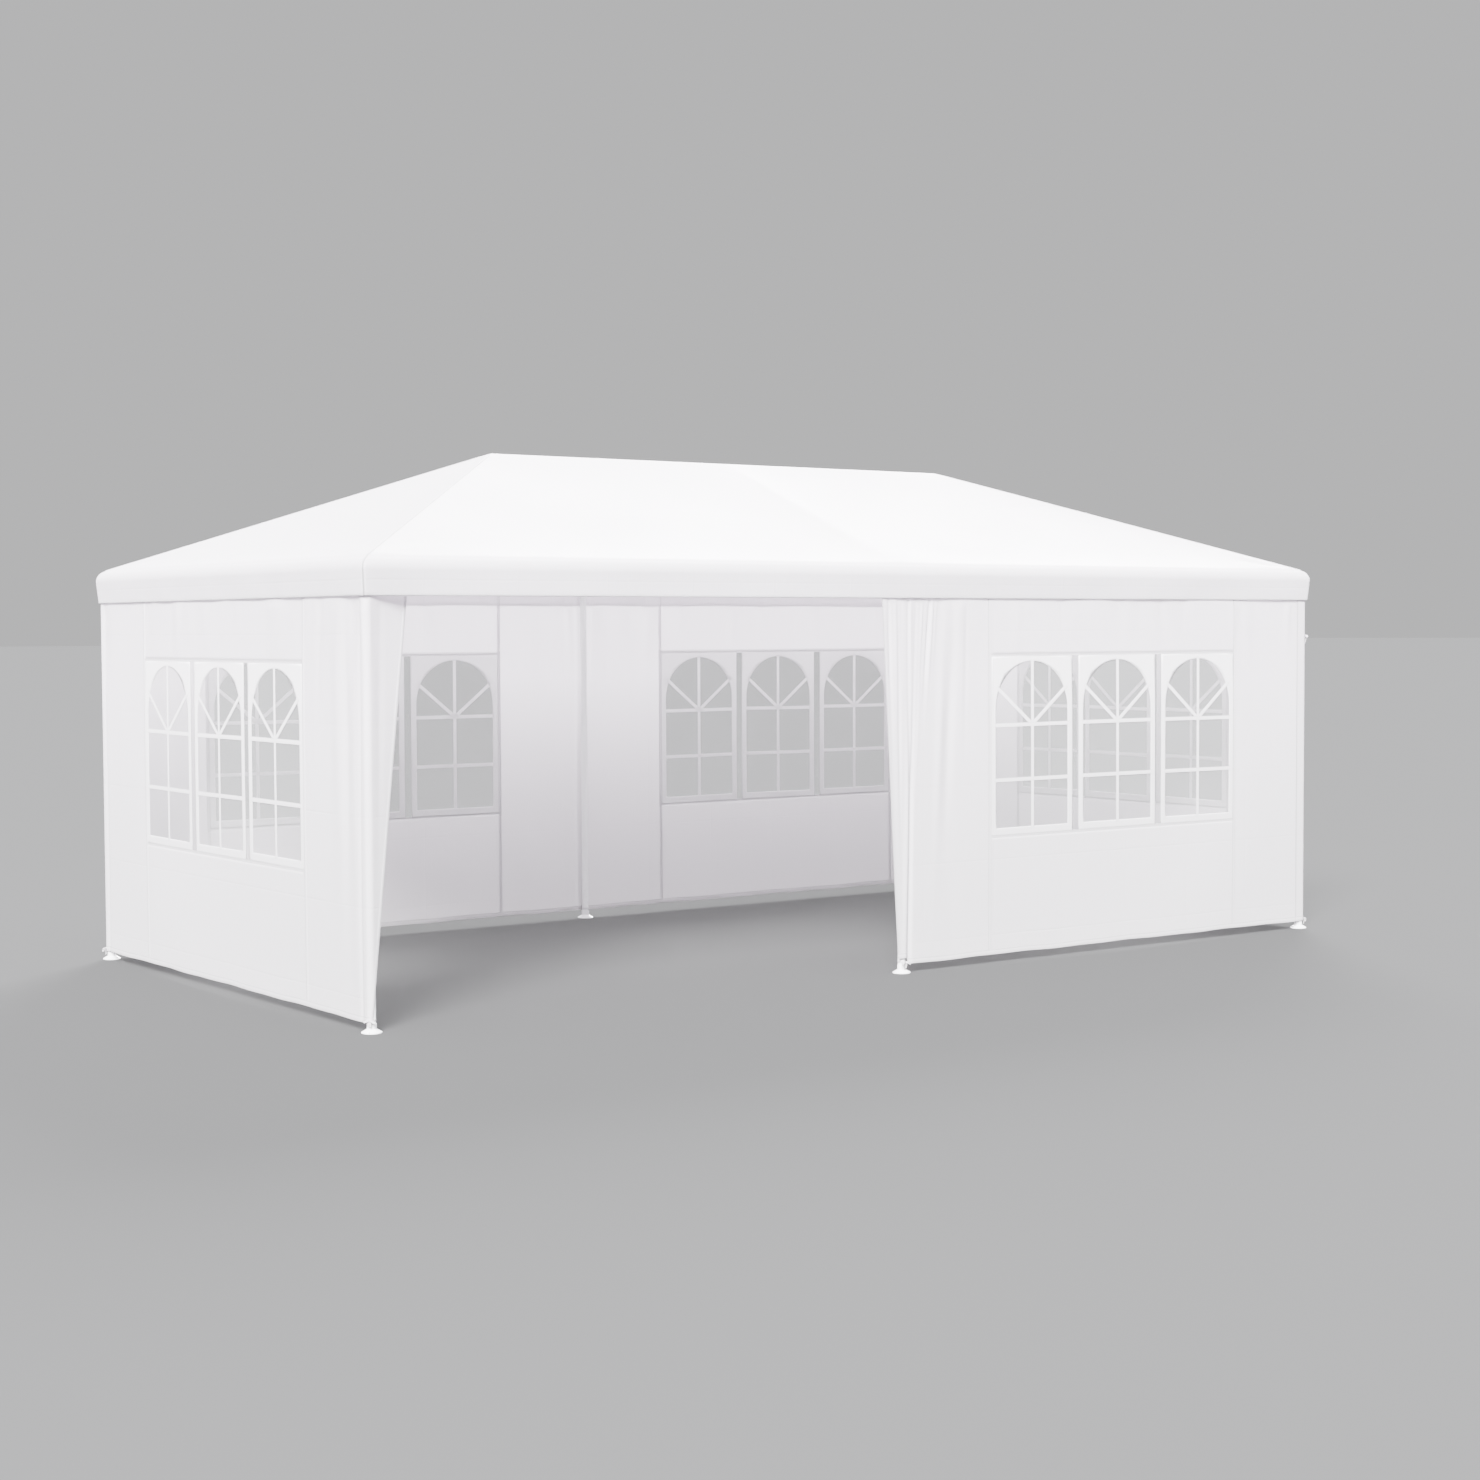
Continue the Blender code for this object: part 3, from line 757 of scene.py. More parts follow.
def wall_seams(wall, cloth):
    """Seams and hems of a wall: beside and round its window block, along its foot, head and side edges."""
    low, high = wall.block[0] + SEAM_INSET, wall.block[1] - SEAM_INSET
    seam, hem, thick = cloth.seam_width, cloth.hem_width, cloth.seam_thickness
    uprights = steps(WALL_HEM + SEAM_END, WALL_TOP - SEAM_END, WIDE_STEP)
    patches = [tape(wall, run, uprights, seam, thick, SEAM_LIFT) for run in (low - seam / 2, high + seam / 2)]
    across = steps(low - 2 * SEAM_INSET, high + 2 * SEAM_INSET, WIDE_STEP)
    width, fullness = seam * BLOCK_SEAM[0], thick * BLOCK_SEAM[1]
    for height in (BLOCK_LOW - width / 2 + SEAM_INSET, BLOCK_HIGH + width / 2 - SEAM_INSET):
        patches.append(tape(wall, across, height, width, fullness, SEAM_LIFT))
    for level, side, lift in ((WALL_HEM, 1, FOOT_HEM_LIFT), (WALL_TOP, -1, 0.0)):
        ends = (wall.edge_run(edge, level) for edge in (wall.low_edge, wall.high_edge))
        line = steps(*ends, FINE_STEP)
        patches.append(tape(wall, line, level + side * hem / 2, hem, thick * HEM_FULLNESS, lift))
    width, fullness = seam * EDGE_SEAM[0], thick * EDGE_SEAM[1]
    for edge, side in ((wall.low_edge, 1), (wall.high_edge, -1)):
        line = uprights[::side]
        inner = wall.edge_run(edge, line) + side * width / 2
        patches.append(tape(wall, inner, line, width, fullness, SEAM_LIFT))
    return patches


def frame_layout(wall, windows, number):
    """The left run of a light's frame, its width, and the small skew that hand sewing leaves it."""
    count = windows.lights
    width = (2 * BLOCK_HALF - (count - 1) * windows.clear_strip) / count
    draw = np.random.default_rng(100 * WALLS.index(wall) + number)
    start = wall.block[0] + number * (width + windows.clear_strip)
    return start, width, draw.uniform(-SEWING_SKEW, SEWING_SKEW, 3)


def skewed(run, height, middle_run, skew):
    """A frame's points moved by its skew: a shift sideways, a shift up and a slight lean."""
    lean = skew[2] * (height - BLOCK_LOW) / (BLOCK_HIGH - BLOCK_LOW)
    tilt = skew[0] * (run - middle_run) * SKEW_TILT
    return run + skew[0] + lean, height + skew[1] * SKEW_RISE + tilt


def arched_frame(wall, windows, number):
    """One light's sewn frame: a sheet between its arched opening and its upright outer edge.

    The opening is a foot, two sides and a half circle. Each of its points is joined to the matching point of
    the outer rectangle, and round the half circle that is the point straight out from the circle's centre.
    """
    start, width, skew = frame_layout(wall, windows, number)
    half = width / 2
    radius = half - FRAME_SIDE
    foot = BLOCK_LOW + FRAME_FOOT
    spring = BLOCK_HIGH - FRAME_TOP - radius
    corner = math.atan2(BLOCK_HIGH - spring, half)
    stops = (0, corner, math.pi - corner, math.pi)
    turn = joined(*(np.linspace(*stretch) for stretch in zip(stops, stops[1:], ARCH_POINTS)))[1:-1]
    side = np.linspace(0, 1, SIDE_POINTS)
    floor = np.linspace(-1, 1, FOOT_POINTS)[1:-1]
    to_edge = np.minimum(half / np.maximum(np.abs(np.cos(turn)), 1e-9), (BLOCK_HIGH - spring) / np.sin(turn))
    inner, outer = (
        np.concatenate(
            [
                together(floor * out, low),
                together(out, low + side * (spring - low)),
                together(reach * np.cos(turn), spring + reach * np.sin(turn)),
                together(-out, spring - side * (spring - low)),
            ]
        )
        for out, low, reach in ((radius, foot, radius), (half, BLOCK_LOW, to_edge))
    )
    share = np.linspace(0, 1, FRAME_ROWS)[:, None, None]
    loops = (1 - share) * inner + share * outer
    loops = np.concatenate([loops, loops[:, :1]], axis=1)[::-1]
    across, height = loops[..., 0], loops[..., 1]
    from_side = np.hypot(np.maximum(np.abs(across) - radius, 0), np.maximum(foot - height, 0))
    from_opening = np.where(height < spring, from_side, np.hypot(across, height - spring) - radius)
    from_edge = np.minimum(inside(across, -half, half), inside(height, BLOCK_LOW, BLOCK_HIGH))
    run = start + half + across
    maps = [together(run, height), together(from_opening, from_edge)]
    return patch(wall.point(*skewed(run, height, start + half, skew)), maps)


def glazing_bars(wall, windows, number):
    """One light's bars: an upright, two level bars and two diagonals that meet on the upper one."""
    start, width, skew = frame_layout(wall, windows, number)
    centre = start + width / 2
    reach = width / 2 - FRAME_SIDE + BAR_LAP
    foot = BLOCK_LOW + FRAME_FOOT - BAR_LAP
    crown = BLOCK_HIGH - FRAME_TOP + BAR_LAP
    bars = [((centre, foot), (centre, crown), 0.0)]
    for level in (BLOCK_HIGH - drop for drop in BAR_DROPS):
        bars.append(((centre - reach, level), (centre + reach, level), BAR_STAGGER))
    for side in (-1, 1):
        top = (centre + side * DIAGONAL_REACH, BLOCK_HIGH - DIAGONAL_DROP)
        bars.append((top, (centre, BLOCK_HIGH - BAR_DROPS[0]), -BAR_STAGGER))
    width, thickness = windows.bar_width, windows.bar_thickness
    patches = []
    for first, last, stagger in bars:
        line = np.linspace(first, last, BAR_POINTS)
        runs, heights = skewed(line[:, 0], line[:, 1], centre, skew)
        patches.append(tape(wall, runs, heights, width, thickness, BAR_LIFT + stagger))
    return patches


def film_grid(wall, windows):
    """The film behind a window block: the wall's own surface with shallow ripples inside the seams."""
    sides = (wall.block, (BLOCK_LOW, BLOCK_HIGH))
    run, height = np.meshgrid(*(steps(low - FILM_SEAM, high + FILM_SEAM, WIDE_STEP) for low, high in sides))
    free = smooth(np.minimum(inside(run, *wall.block), inside(height, BLOCK_LOW, BLOCK_HIGH)) / FILM_EASING)
    across, up = FILM_RIPPLES
    ripple = swaying(run, height, *across) + swaying(height, run, *up)
    inwards = windows.film_ripple * free * (1 + 0.5 * ripple) / 2
    return patch(wall.point(run, height, FILM_LIFT - inwards), [together(run, height)])


class Profile:
    """The cover's section from its hem up to the ridge, as arrays along it.

    reach is the distance out from the ridge line, rounding the radius of the level ring's corners, hanging
    how much of a point is valance (1 at the hem), below how far it is past the eave (1 under it), and travel
    the distance along the cloth, down from the ridge.
    """

    def __init__(self):
        slope_out = np.concatenate([RIDGE_ROWS, steps(*SLOPE_ROWS)])
        eased = np.hypot(slope_out, RIDGE_ROUNDING) - RIDGE_ROUNDING
        slope_up = RIDGE_HEIGHT + COVER_LIFT / math.cos(SLOPE) - eased * math.tan(SLOPE)
        square = np.array((math.sin(SLOPE), math.cos(SLOPE)))
        bend = np.linspace(SLOPE, math.pi / 2 + VALANCE_LEAN, EAVE_ROWS)
        roll = ROLL_RADIUS * (together(np.sin(bend), np.cos(bend)) - square)
        roll = roll + COVER_LIFT * square + (HALF_WIDTH, EAVE_HEIGHT)
        drop = np.linspace(roll[-1, 1], VALANCE_BOTTOM, VALANCE_ROWS)[1:]
        lean = roll[-1, 0] - (roll[-1, 1] - drop) * math.tan(VALANCE_LEAN)
        self.reach = np.concatenate([slope_out, roll[:, 0], lean])[::-1]
        self.height = np.concatenate([slope_up, roll[:, 1], drop])[::-1]
        self.below = smooth((EAVE_HEIGHT + COVER_LIFT - self.height) / EAVE_EASING)
        rounding = HIP_ROUNDING + (CORNER_ROUNDING - HIP_ROUNDING) * self.below
        self.rounding = np.minimum(rounding, self.reach * MOST_ROUNDING)
        self.hanging = smooth((HANGING_FROM - self.height) / (EAVE_HEIGHT - VALANCE_BOTTOM))
        travel = travelled(together(self.reach, self.height))
        self.travel = travel[-1] - travel


PROFILE = Profile()


def cover_point(rows, across_x, across_y, turn, lift=0.0):
    """Points of the cover: its section carried round the level rings of a hipped roof.

    A ring at a reach is a rectangle that is longer than wide by the ridge, with round corners. across_x and
    across_y, from -1 to 1, place a point between the centres of those corners, and turn is its outward
    direction. Slopes sag between the ridge, hips, rafters and eaves, creases run in from the corners, and the
    valance swells in slow waves towards its hem. A lift goes square out of a slope, and level out of the
    valance.
    """
    cloth = bpy.context.scene.marquee_cloth
    section = (PROFILE.reach, PROFILE.height, PROFILE.rounding, PROFILE.hanging)
    reach, height, rounding, hanging = (column[rows][:, None] for column in section)
    x = across_x * (RIDGE_HALF + reach - rounding) + rounding * np.cos(turn)
    y = across_y * (reach - rounding) + rounding * np.sin(turn)
    on_end = np.abs(x) - RIDGE_HALF > np.abs(y)
    to_hip = np.abs(np.abs(x) - RIDGE_HALF - np.abs(y)) / math.sqrt(2)
    to_ridge = np.where(on_end, 1.0, np.abs(y))
    to_rafter = np.where(on_end, 1.0, np.abs(x))
    to_eave = np.maximum(HALF_WIDTH - reach, 0)
    free = (1 - np.exp(-distance / SAG_REACH) for distance in (to_hip, to_ridge, to_rafter, to_eave))
    sag = cloth.roof_sag * math.prod(free)
    from_end, from_side = HALF_LENGTH - np.abs(x), HALF_WIDTH - np.abs(y)
    size, count, deepest, fading = CORNER_CREASE
    crease = size * np.sin(np.arctan2(from_end, from_side) * count + np.sign(x) * 2 + np.sign(y))
    crease = crease * bell(np.hypot(from_end, from_side) - deepest, fading)
    crease = crease * smooth(to_hip / CREASE_EASING[0]) * smooth(to_eave / CREASE_EASING[1])
    around = np.arctan2(y / HALF_WIDTH, x / HALF_LENGTH)
    wave = sum(size * swaying(around, around, *pace) for size, *pace in VALANCE_WAVES)
    swell = cloth.valance_wave * hanging * wave * VALANCE_SHARE
    bend = np.clip((height - EAVE_HEIGHT) / COVER_LIFT, 0, 1) * (reach > HALF_WIDTH) + (reach <= HALF_WIDTH)
    outward = swell + lift * np.where(bend < 1, 1 - 0.5 * bend, math.sin(SLOPE))
    upward = crease - sag + lift * bend * math.cos(SLOPE)
    return together(x + np.cos(turn) * outward, y + np.sin(turn) * outward, height + upward)


def cover_columns():
    """Round the cover once, left to right from outside: across x, across y, turn and side of each column."""
    arc = np.linspace(0, 1, CORNER_COLUMNS)[1:-1]
    parts = []
    for number, (x, y) in enumerate(CORNERS):
        on_end = number % 2
        even = np.linspace(0, 1, SIDE_COLUMNS[on_end])
        along = 2 * ((1 - CROWDING) * even - CROWDING * (np.cos(np.pi * even) - 1) / 2) - 1
        turn = (number - 1) * math.pi / 2
        ends = (x, y * along) if on_end else (x * along, y)
        parts.append(together(*ends, turn, number))
        parts.append(together(x, y, turn + arc * math.pi / 2, number + np.round(arc)))
    return np.concatenate(parts)


def cover_patch():
    """The whole cover as one sheet, its weave laid level on every side."""
    columns = cover_columns()
    rows = np.arange(len(PROFILE.reach))
    points = cover_point(rows, columns[:, 0], columns[:, 1], columns[:, 2]).reshape(-1, 3)
    faces = grid_faces(len(rows), len(columns), closed=True)
    on_end = np.tile(columns[:, 3].astype(int) % 2, len(rows) - 1)
    level = np.where(on_end[:, None] == 0, points[faces][..., 0], points[faces][..., 1])
    down = np.repeat(PROFILE.travel[:, None], len(columns), axis=1).ravel()[faces]
    return points, faces, [together(level, down)]


def hem_band(cloth):
    """The valance's hem: the cover's lowest rows lifted, from their edge up."""
    rows = np.flatnonzero(PROFILE.height < VALANCE_BOTTOM + cloth.valance_hem)
    columns = cover_columns()
    columns = np.concatenate([columns, columns[:1]])
    points = cover_point(rows, columns[:, 0], columns[:, 1], columns[:, 2], COVER_HEM_LIFT)
    down = PROFILE.travel[rows][:, None] + 0 * columns[:, 0]
    maps = [together(travelled(points[0]), down), together(down.max() - down, down - down.min())]
    return patch(points, maps)


def hip_band(cloth, corner, sign_x, sign_y):
    """The felled seam up one hip, from the hem to the ridge's end, bent over the hip's rounding.

    Each row of the cover has the seam's width as an arc round the middle of its corner. Below the eave the
    seam is the narrow one that joins two strips of valance, darkened right across by painted shade.
    """
    rows = np.flatnonzero(PROFILE.reach > HIP_SEAM_END)
    below = PROFILE.below[rows]
    rounding = PROFILE.rounding[rows]
    width = np.minimum(cloth.seam_width * HIP_SEAM_SHARE, rounding * HIP_SEAM_TURN)
    width = (width + (CORNER_SEAM - width) * below)[:, None]
    share = np.linspace(-0.5, 0.5, SEAM_POINTS)
    turn = (corner - 1) * math.pi / 2 + math.pi / 4 + share * width / rounding[:, None]
    points = cover_point(rows, sign_x, sign_y, turn, HIP_SEAM_LIFT)
    across = (share + 0.5) * width
    # Below the eave the border is 0 right across, so the painted shade line covers the whole narrow seam
    outer = (width - across) * (1 - below[:, None])
    return patch(points, [together(across, PROFILE.travel[rows][:, None]), together(across, outer)])


def ribbon(path, across, width):
    """A ribbon as an open sheet: a path, and at each of its points the direction across, with a width."""
    path, across = np.broadcast_arrays(path, across)
    across = across / np.linalg.norm(across, axis=-1, keepdims=True)
    share = np.linspace(-0.5, 0.5, RIBBON_POINTS)[:, None]
    along = travelled(path)
    sideways = (share + 0.5) * width + 0 * along
    points = path + share[:, :, None] * width * across
    return patch(points, [together(along, sideways), together(sideways, width - sideways)])


def bow(ties, origin, outward, room, seed):
    """A ribbon tied in a bow: two loops, two tails and the knot that holds them.

    Each loop is a flattened circle that leaves the knot sideways and comes back in front of itself, drooping
    as it goes. A tail falls from the knot in a shallow S, no longer than its room, and the knot is a ring.
    """
    draw = np.random.default_rng(seed)
    outward = np.array(outward, dtype=float) / np.linalg.norm(outward)
    upward = np.array((0.0, 0.0, 1.0))
    sideways = np.cross(upward, outward)
    origin = np.array(origin) + KNOT_STAND_OFF * outward
    turn = np.linspace(0, 2 * math.pi, LOOP_POINTS)[:, None]
    knot = origin + KNOT_RADIUS * (np.cos(turn) * outward + np.sin(turn) * upward)
    patches = [ribbon(knot, sideways, ties.ribbon_width * KNOT_WIDTH)]
    far = (1 - np.cos(turn)) / 2
    fall = np.linspace(0, 1, TAIL_POINTS)[:, None]
    curl, pace = TAIL_CURL
    for side in (-1, 1):
        length = ties.loop_length * draw.uniform(*LOOP_LENGTHS)
        droop = length * draw.uniform(*LOOP_DROOPS)
        loop = origin + side * length * far * sideways - droop * far**2 * upward
        loop = loop + length * LOOP_STAND * (1 + np.sin(turn)) * np.sqrt(far) * outward
        patches.append(ribbon(loop, upward + LOOP_TWIST * side * far * sideways, ties.ribbon_width))
        length = min(ties.tail_length, room) * draw.uniform(*TAIL_LENGTHS)
        swing = side * (TAIL_SWING * fall + TAIL_WAVE * np.sin(fall * draw.uniform(*TAIL_PACES)))
        tail = origin + length * (swing * sideways - fall * upward + curl * np.sin(fall * pace) * outward)
        patches.append(ribbon(tail, sideways + TAIL_TWIST * side * fall * outward, ties.ribbon_width))
    return patches


def leg_ring(ties, leg, height):
    """The ribbon's turn round a leg: a level circle of upright ribbon."""
    turn = np.linspace(0, 2 * math.pi, RING_POINTS)
    centre = middle(leg)
    ring = together(centre.x + RING_RADIUS * np.cos(turn), centre.y + RING_RADIUS * np.sin(turn), height)
    return ribbon(ring, (0, 0, 1), ties.ribbon_width)


def rail_strap(ties, wall, run):
    """A strap that hangs a wall on its eave rail: round the rail on an arc, then both ends down to the wall.

    The arc ends where straight lines to the wall's head hem touch the rail's circle.
    """
    out = WALL_OFFSET + float(wall.swell(run, STRAP_SEWN_AT)) - STRAP_INSET
    foot = np.array((out, STRAP_SEWN_AT - EAVE_HEIGHT))
    bearing = math.atan2(foot[1], foot[0])
    opening = math.acos(STRAP_RADIUS / float(np.hypot(*foot)))
    turn = np.linspace(bearing + opening, bearing + 2 * math.pi - opening, STRAP_POINTS)
    arc = STRAP_RADIUS * together(np.cos(turn), np.sin(turn))
    path = np.concatenate([[foot], arc, [foot + STRAP_OVERLAP]])
    points = wall.start + run * wall.along + path[:, :1] * wall.outward
    points[:, 2] = EAVE_HEIGHT + path[:, 1]
    return ribbon(points, wall.along, ties.strap_width)


def outward_of(leg):
    """The level direction away from the marquee's middle at a leg: out of its sides, or cornerwise."""
    place = middle(leg)
    outward = np.sign((round(place.x, 3), place.y, 0.0))
    return outward / np.linalg.norm(outward)


class Shade:
    """A shader socket that takes arithmetic: each operator adds a Math node to the wiring it belongs to."""

    def __init__(self, wiring, socket):
        self.wiring = wiring
        self.socket = socket

    def __add__(self, other):
        return self.wiring.math("ADD", self, other)

    def __sub__(self, other):
        return self.wiring.math("SUBTRACT", self, other)

    def __rsub__(self, other):
        return self.wiring.math("SUBTRACT", other, self)

    def __mul__(self, other):
        return self.wiring.math("MULTIPLY", self, other)

    def __truediv__(self, other):
        return self.wiring.math("DIVIDE", self, other)

    __radd__ = __add__


class Wiring:
    """Nodes under construction in a tree."""

    def __init__(self, tree):
        self.tree = tree

    def feed(self, socket, value):
        """Gives a socket a value or a link."""
        if isinstance(value, Shade):
            self.tree.links.new(value.socket, socket)
        else:
            socket.default_value = value

    def node(self, kind, settings=None, inputs=None, output=0):
        """Adds a node, sets its settings and its inputs, which are values or links, and gives an output."""
        made = self.tree.nodes.new(kind)
        for name, value in (settings or {}).items():
            setattr(made, name, value)
        for key, value in (inputs or {}).items():
            self.feed(made.inputs[key], value)
        return Shade(self, made.outputs[output])

    def math(self, operation, *values):
        """A Math node on numbers or sockets."""
        return self.node("ShaderNodeMath", {"operation": operation}, dict(enumerate(values)))

    def blend(self, share, first, second):
        """A colour between two, by a share."""
        colours = {key: (*c, 1.0) if isinstance(c, tuple) else c for key, c in ((6, first), (7, second))}
        return self.node("ShaderNodeMix", {"data_type": "RGBA"}, {0: share, **colours}, output=2)


class Finish(Wiring):
    """A material under construction, with one Principled shader."""

    def __init__(self, name):
        self.material = bpy.data.materials.new(name)
        self.material.use_nodes = True
        super().__init__(self.material.node_tree)
        self.shader = self.tree.nodes["Principled BSDF"]

    def parts(self, place):
        """The three numbers of a vector."""
        split = self.node("ShaderNodeSeparateXYZ", inputs={0: place}).socket.node
        return [Shade(self, output) for output in split.outputs]

    def map_place(self, map_name):
        """The two coordinates of a UV map, in metres, and both as a vector."""
        place = self.node("ShaderNodeUVMap", {"uv_map": map_name})
        run, rise, _ = self.parts(place)
        return run, rise, place

    def object_place(self):
        """The place on the object, in metres, and its height."""
        place = self.node("ShaderNodeTexCoord", output=3)
        return place, self.parts(place)[2]

    def noise(self, place, scale, detail=2.0):
        """Smooth noise from 0 to 1."""
        return self.node("ShaderNodeTexNoise", inputs={"Vector": place, "Scale": scale, "Detail": detail})

    def near(self, distance, reach):
        """1 where a distance is 0, falling to 0 at a reach."""
        return self.math("MAXIMUM", 1 - distance / reach, 0.0)

    def line(self, value, at, half_width):
        """1 on a line where a value is at, falling to 0 half a width away."""
        return self.near(self.math("ABSOLUTE", value - at), half_width)

    def fold_lines(self, value, pitch, half_width):
        """1 on lines a pitch apart, falling to 0 half a width away."""
        return self.near(self.math("ABSOLUTE", self.math("FRACT", value / pitch) - 0.5) * pitch, half_width)

    def set(self, **sockets):
        """Sets the shader's sockets by name, with underscores for spaces."""
        for name, value in sockets.items():
            self.feed(self.shader.inputs[name.replace("_", " ")], value)

    def bump(self, height):
        """Gives the surface a relief, as a height in metres."""
        self.set(Normal=self.node("ShaderNodeBump", inputs={"Height": height, "Distance": 1.0}))

    def let_light_through(self, share, colour):
        """Mixes in light from behind, by a share."""
        behind = self.node("ShaderNodeBsdfTranslucent", inputs={"Color": (*colour, 1.0)})
        front = Shade(self, self.shader.outputs[0])
        both = self.node("ShaderNodeMixShader", inputs={0: share, 1: front, 2: behind})
        self.feed(self.tree.nodes["Material Output"].inputs["Surface"], both)


def toned(colour, factor):
    """A colour times a factor, or times one for each of its parts."""
    return tuple(float(part) for part in np.array(colour) * factor)


def sheeting(finish, colour, glow, turned=0.0):
    """Woven plastic sheeting: a tape weave, upright streaks, packing folds, slow tones and painted shade.

    The weave is the product of two sines. Painted shade darkens the packing folds, and the foot, which
    also lets less light through. Cloth with a turned edge has a row of thread a little in from each border,
    darkened in part by painted shade in its stitch holes, and a line of painted shade of the width given
    along the border where the edge is turned under.
    """
    run, rise, place = finish.map_place("cloth")
    _, up = finish.object_place()
    turns = 2 * math.pi / WEAVE_PITCH
    weave = finish.math("SINE", run * turns) * finish.math("SINE", rise * turns)
    slow = finish.noise(place, 1.7, 3.0)
    crumple = finish.noise(place, 9.0, 3.0)
    drawn = finish.node("ShaderNodeVectorMath", {"operation": "MULTIPLY"}, {0: place, 1: STREAKS})
    streaks = finish.noise(drawn, 1.0, 3.0)
    (run_start, run_pitch), (rise_start, rise_pitch) = FOLD_PLACES
    packing = finish.fold_lines(run + run_start, run_pitch, FOLD_WIDTH)
    packing = packing + finish.fold_lines(rise + rise_start, rise_pitch, FOLD_WIDTH)
    packing = packing * finish.math("MINIMUM", slow * 1.4, 1.0)
    base = finish.blend(slow * 0.5 + streaks * 0.7 + weave * 0.05, colour, toned(colour, STREAK_TONE))
    # Painted shade darkens the cloth along the packing folds
    base = finish.blend(packing * 0.5, base, toned(colour, FOLD_SHADE_TONE))
    # Painted shade: the cloth is darker towards its foot, and there it also lets less light through
    foot = finish.near(up, FOOT_SHADE_REACH)
    foot = foot * (2 - foot)
    base = finish.blend(foot * 0.9, base, toned(colour, FOOT_SHADE_TONE))
    soil = finish.near(up, SOIL_REACH) * finish.noise(place, 22.0, 4.0) * 0.35
    base = finish.blend(soil, base, toned(colour, SOIL_TONE))
    relief = weave * WEAVE_RELIEF + crumple * CRUMPLE_RELIEF + streaks * STREAK_RELIEF - packing * FOLD_RELIEF
    if turned:
        inner, outer, _ = finish.map_place("border")
        depth = finish.math("MINIMUM", inner, outer)
        dash = finish.math("LESS_THAN", finish.math("FRACT", (run + rise) / STITCH), STITCH_SHARE)
        thread = finish.line(depth, THREAD_INSET, THREAD_WIDTH) * dash
        # The thread is darker than the cloth, partly as painted shade in its stitch holes
        base = finish.blend(thread * 0.55, base, toned(colour, THREAD_AND_SHADE_TONE))
        # Painted shade: a dark line along the border where the edge is turned under
        base = finish.blend(finish.line(outer, 0.0, turned) * 0.9, base, toned(colour, EDGE_SHADE_TONE))
        relief = relief - thread * THREAD_RELIEF
    finish.set(Base_Color=base, Roughness=0.52 + slow * 0.12, Specular_IOR_Level=0.30)
    finish.bump(relief)
    # Painted shade: less light passes through towards the foot
    finish.let_light_through(glow - foot * (glow * 0.6), colour)


def clear_film(finish, colour, alpha):
    """Clear plastic film: mostly see-through, glossy, with shallow ripples and faint haze."""
    _, _, place = finish.map_place("cloth")
    haze = finish.noise(place, 5.0, 4.0)
    finish.set(Base_Color=finish.blend(haze, colour, toned(colour, UNEVEN_TONE)))
    finish.set(Roughness=0.10 + haze * 0.10, IOR=1.5, Specular_IOR_Level=0.8, Alpha=alpha)
    finish.bump(finish.noise(place, 16.0) * RIPPLE_RELIEF)


def powder_coat(finish, colour):
    """White powder coat on steel: orange-peel relief, faint tone changes and scuffs towards the foot."""
    place, up = finish.object_place()
    peel = finish.noise(place, 420.0)
    tone = finish.noise(place, 9.0, 3.0)
    scuff = finish.math("GREATER_THAN", finish.noise(place, 75.0, 5.0), 0.66) * finish.near(up, SCUFF_REACH)
    base = finish.blend(tone * 0.5, colour, toned(colour, UNEVEN_TONE))
    base = finish.blend(scuff * 0.6, base, SCUFF_COLOUR)
    finish.set(Base_Color=base, Roughness=0.30 + tone * 0.12, Coat_Weight=0.15)
    finish.bump(peel * PEEL_RELIEF)


def moulded_plastic(finish, colour):
    """White moulded plastic: a fine spark grain and slightly uneven gloss."""
    place, _ = finish.object_place()
    grain = finish.noise(place, 900.0)
    tone = finish.noise(place, 14.0, 3.0)
    finish.set(Base_Color=finish.blend(tone * 0.6, colour, toned(colour, UNEVEN_TONE)))
    finish.set(Roughness=0.42 + grain * 0.12)
    finish.bump(grain * GRAIN_RELIEF + tone * MOULDING_RELIEF)


def pale_floor(finish, colour, glow):
    """A plain matt floor with the faintest mottling, and a faint light of its own."""
    place, _ = finish.object_place()
    mottle = finish.noise(place, 0.8, 4.0)
    finish.set(Base_Color=finish.blend(mottle * 0.3, colour, toned(colour, FLOOR_TONE)))
    finish.set(Roughness=1.0, Specular_IOR_Level=0.0, Emission_Color=(*colour, 1.0), Emission_Strength=glow)


# Each finish as its maker, the setting for its colour, and further settings or values
RECIPES = {
    "cover_sheeting": (sheeting, "cover_colour", "cover_glow"),
    "wall_sheeting": (sheeting, "wall_colour", "wall_glow"),
    "cover_seam_sheeting": (sheeting, "cover_colour", "seam_glow", SEAM_SHADE),
    "wall_seam_sheeting": (sheeting, "wall_colour", "seam_glow", SEAM_SHADE),
    "sewn_trim": (sheeting, "trim_colour", "trim_glow", TRIM_SHADE),
    "clear_window_film": (clear_film, "film_colour", "film_alpha"),
    "white_powder_coat": (powder_coat, "steel_colour"),
    "white_joint_plastic": (moulded_plastic, "plastic_colour"),
}
MADE = {}


def finished(name):
    """The finish of that name, made by its recipe the first time that it is asked for."""
    if name not in MADE:
        make, colour, *rest = RECIPES[name]
        settings = bpy.context.scene.marquee_finishes
        values = [getattr(settings, value) if isinstance(value, str) else value for value in rest]
        finish = Finish(name)
        make(finish, tuple(getattr(settings, colour)), *values)
        MADE[name] = finish.material
    return MADE[name]


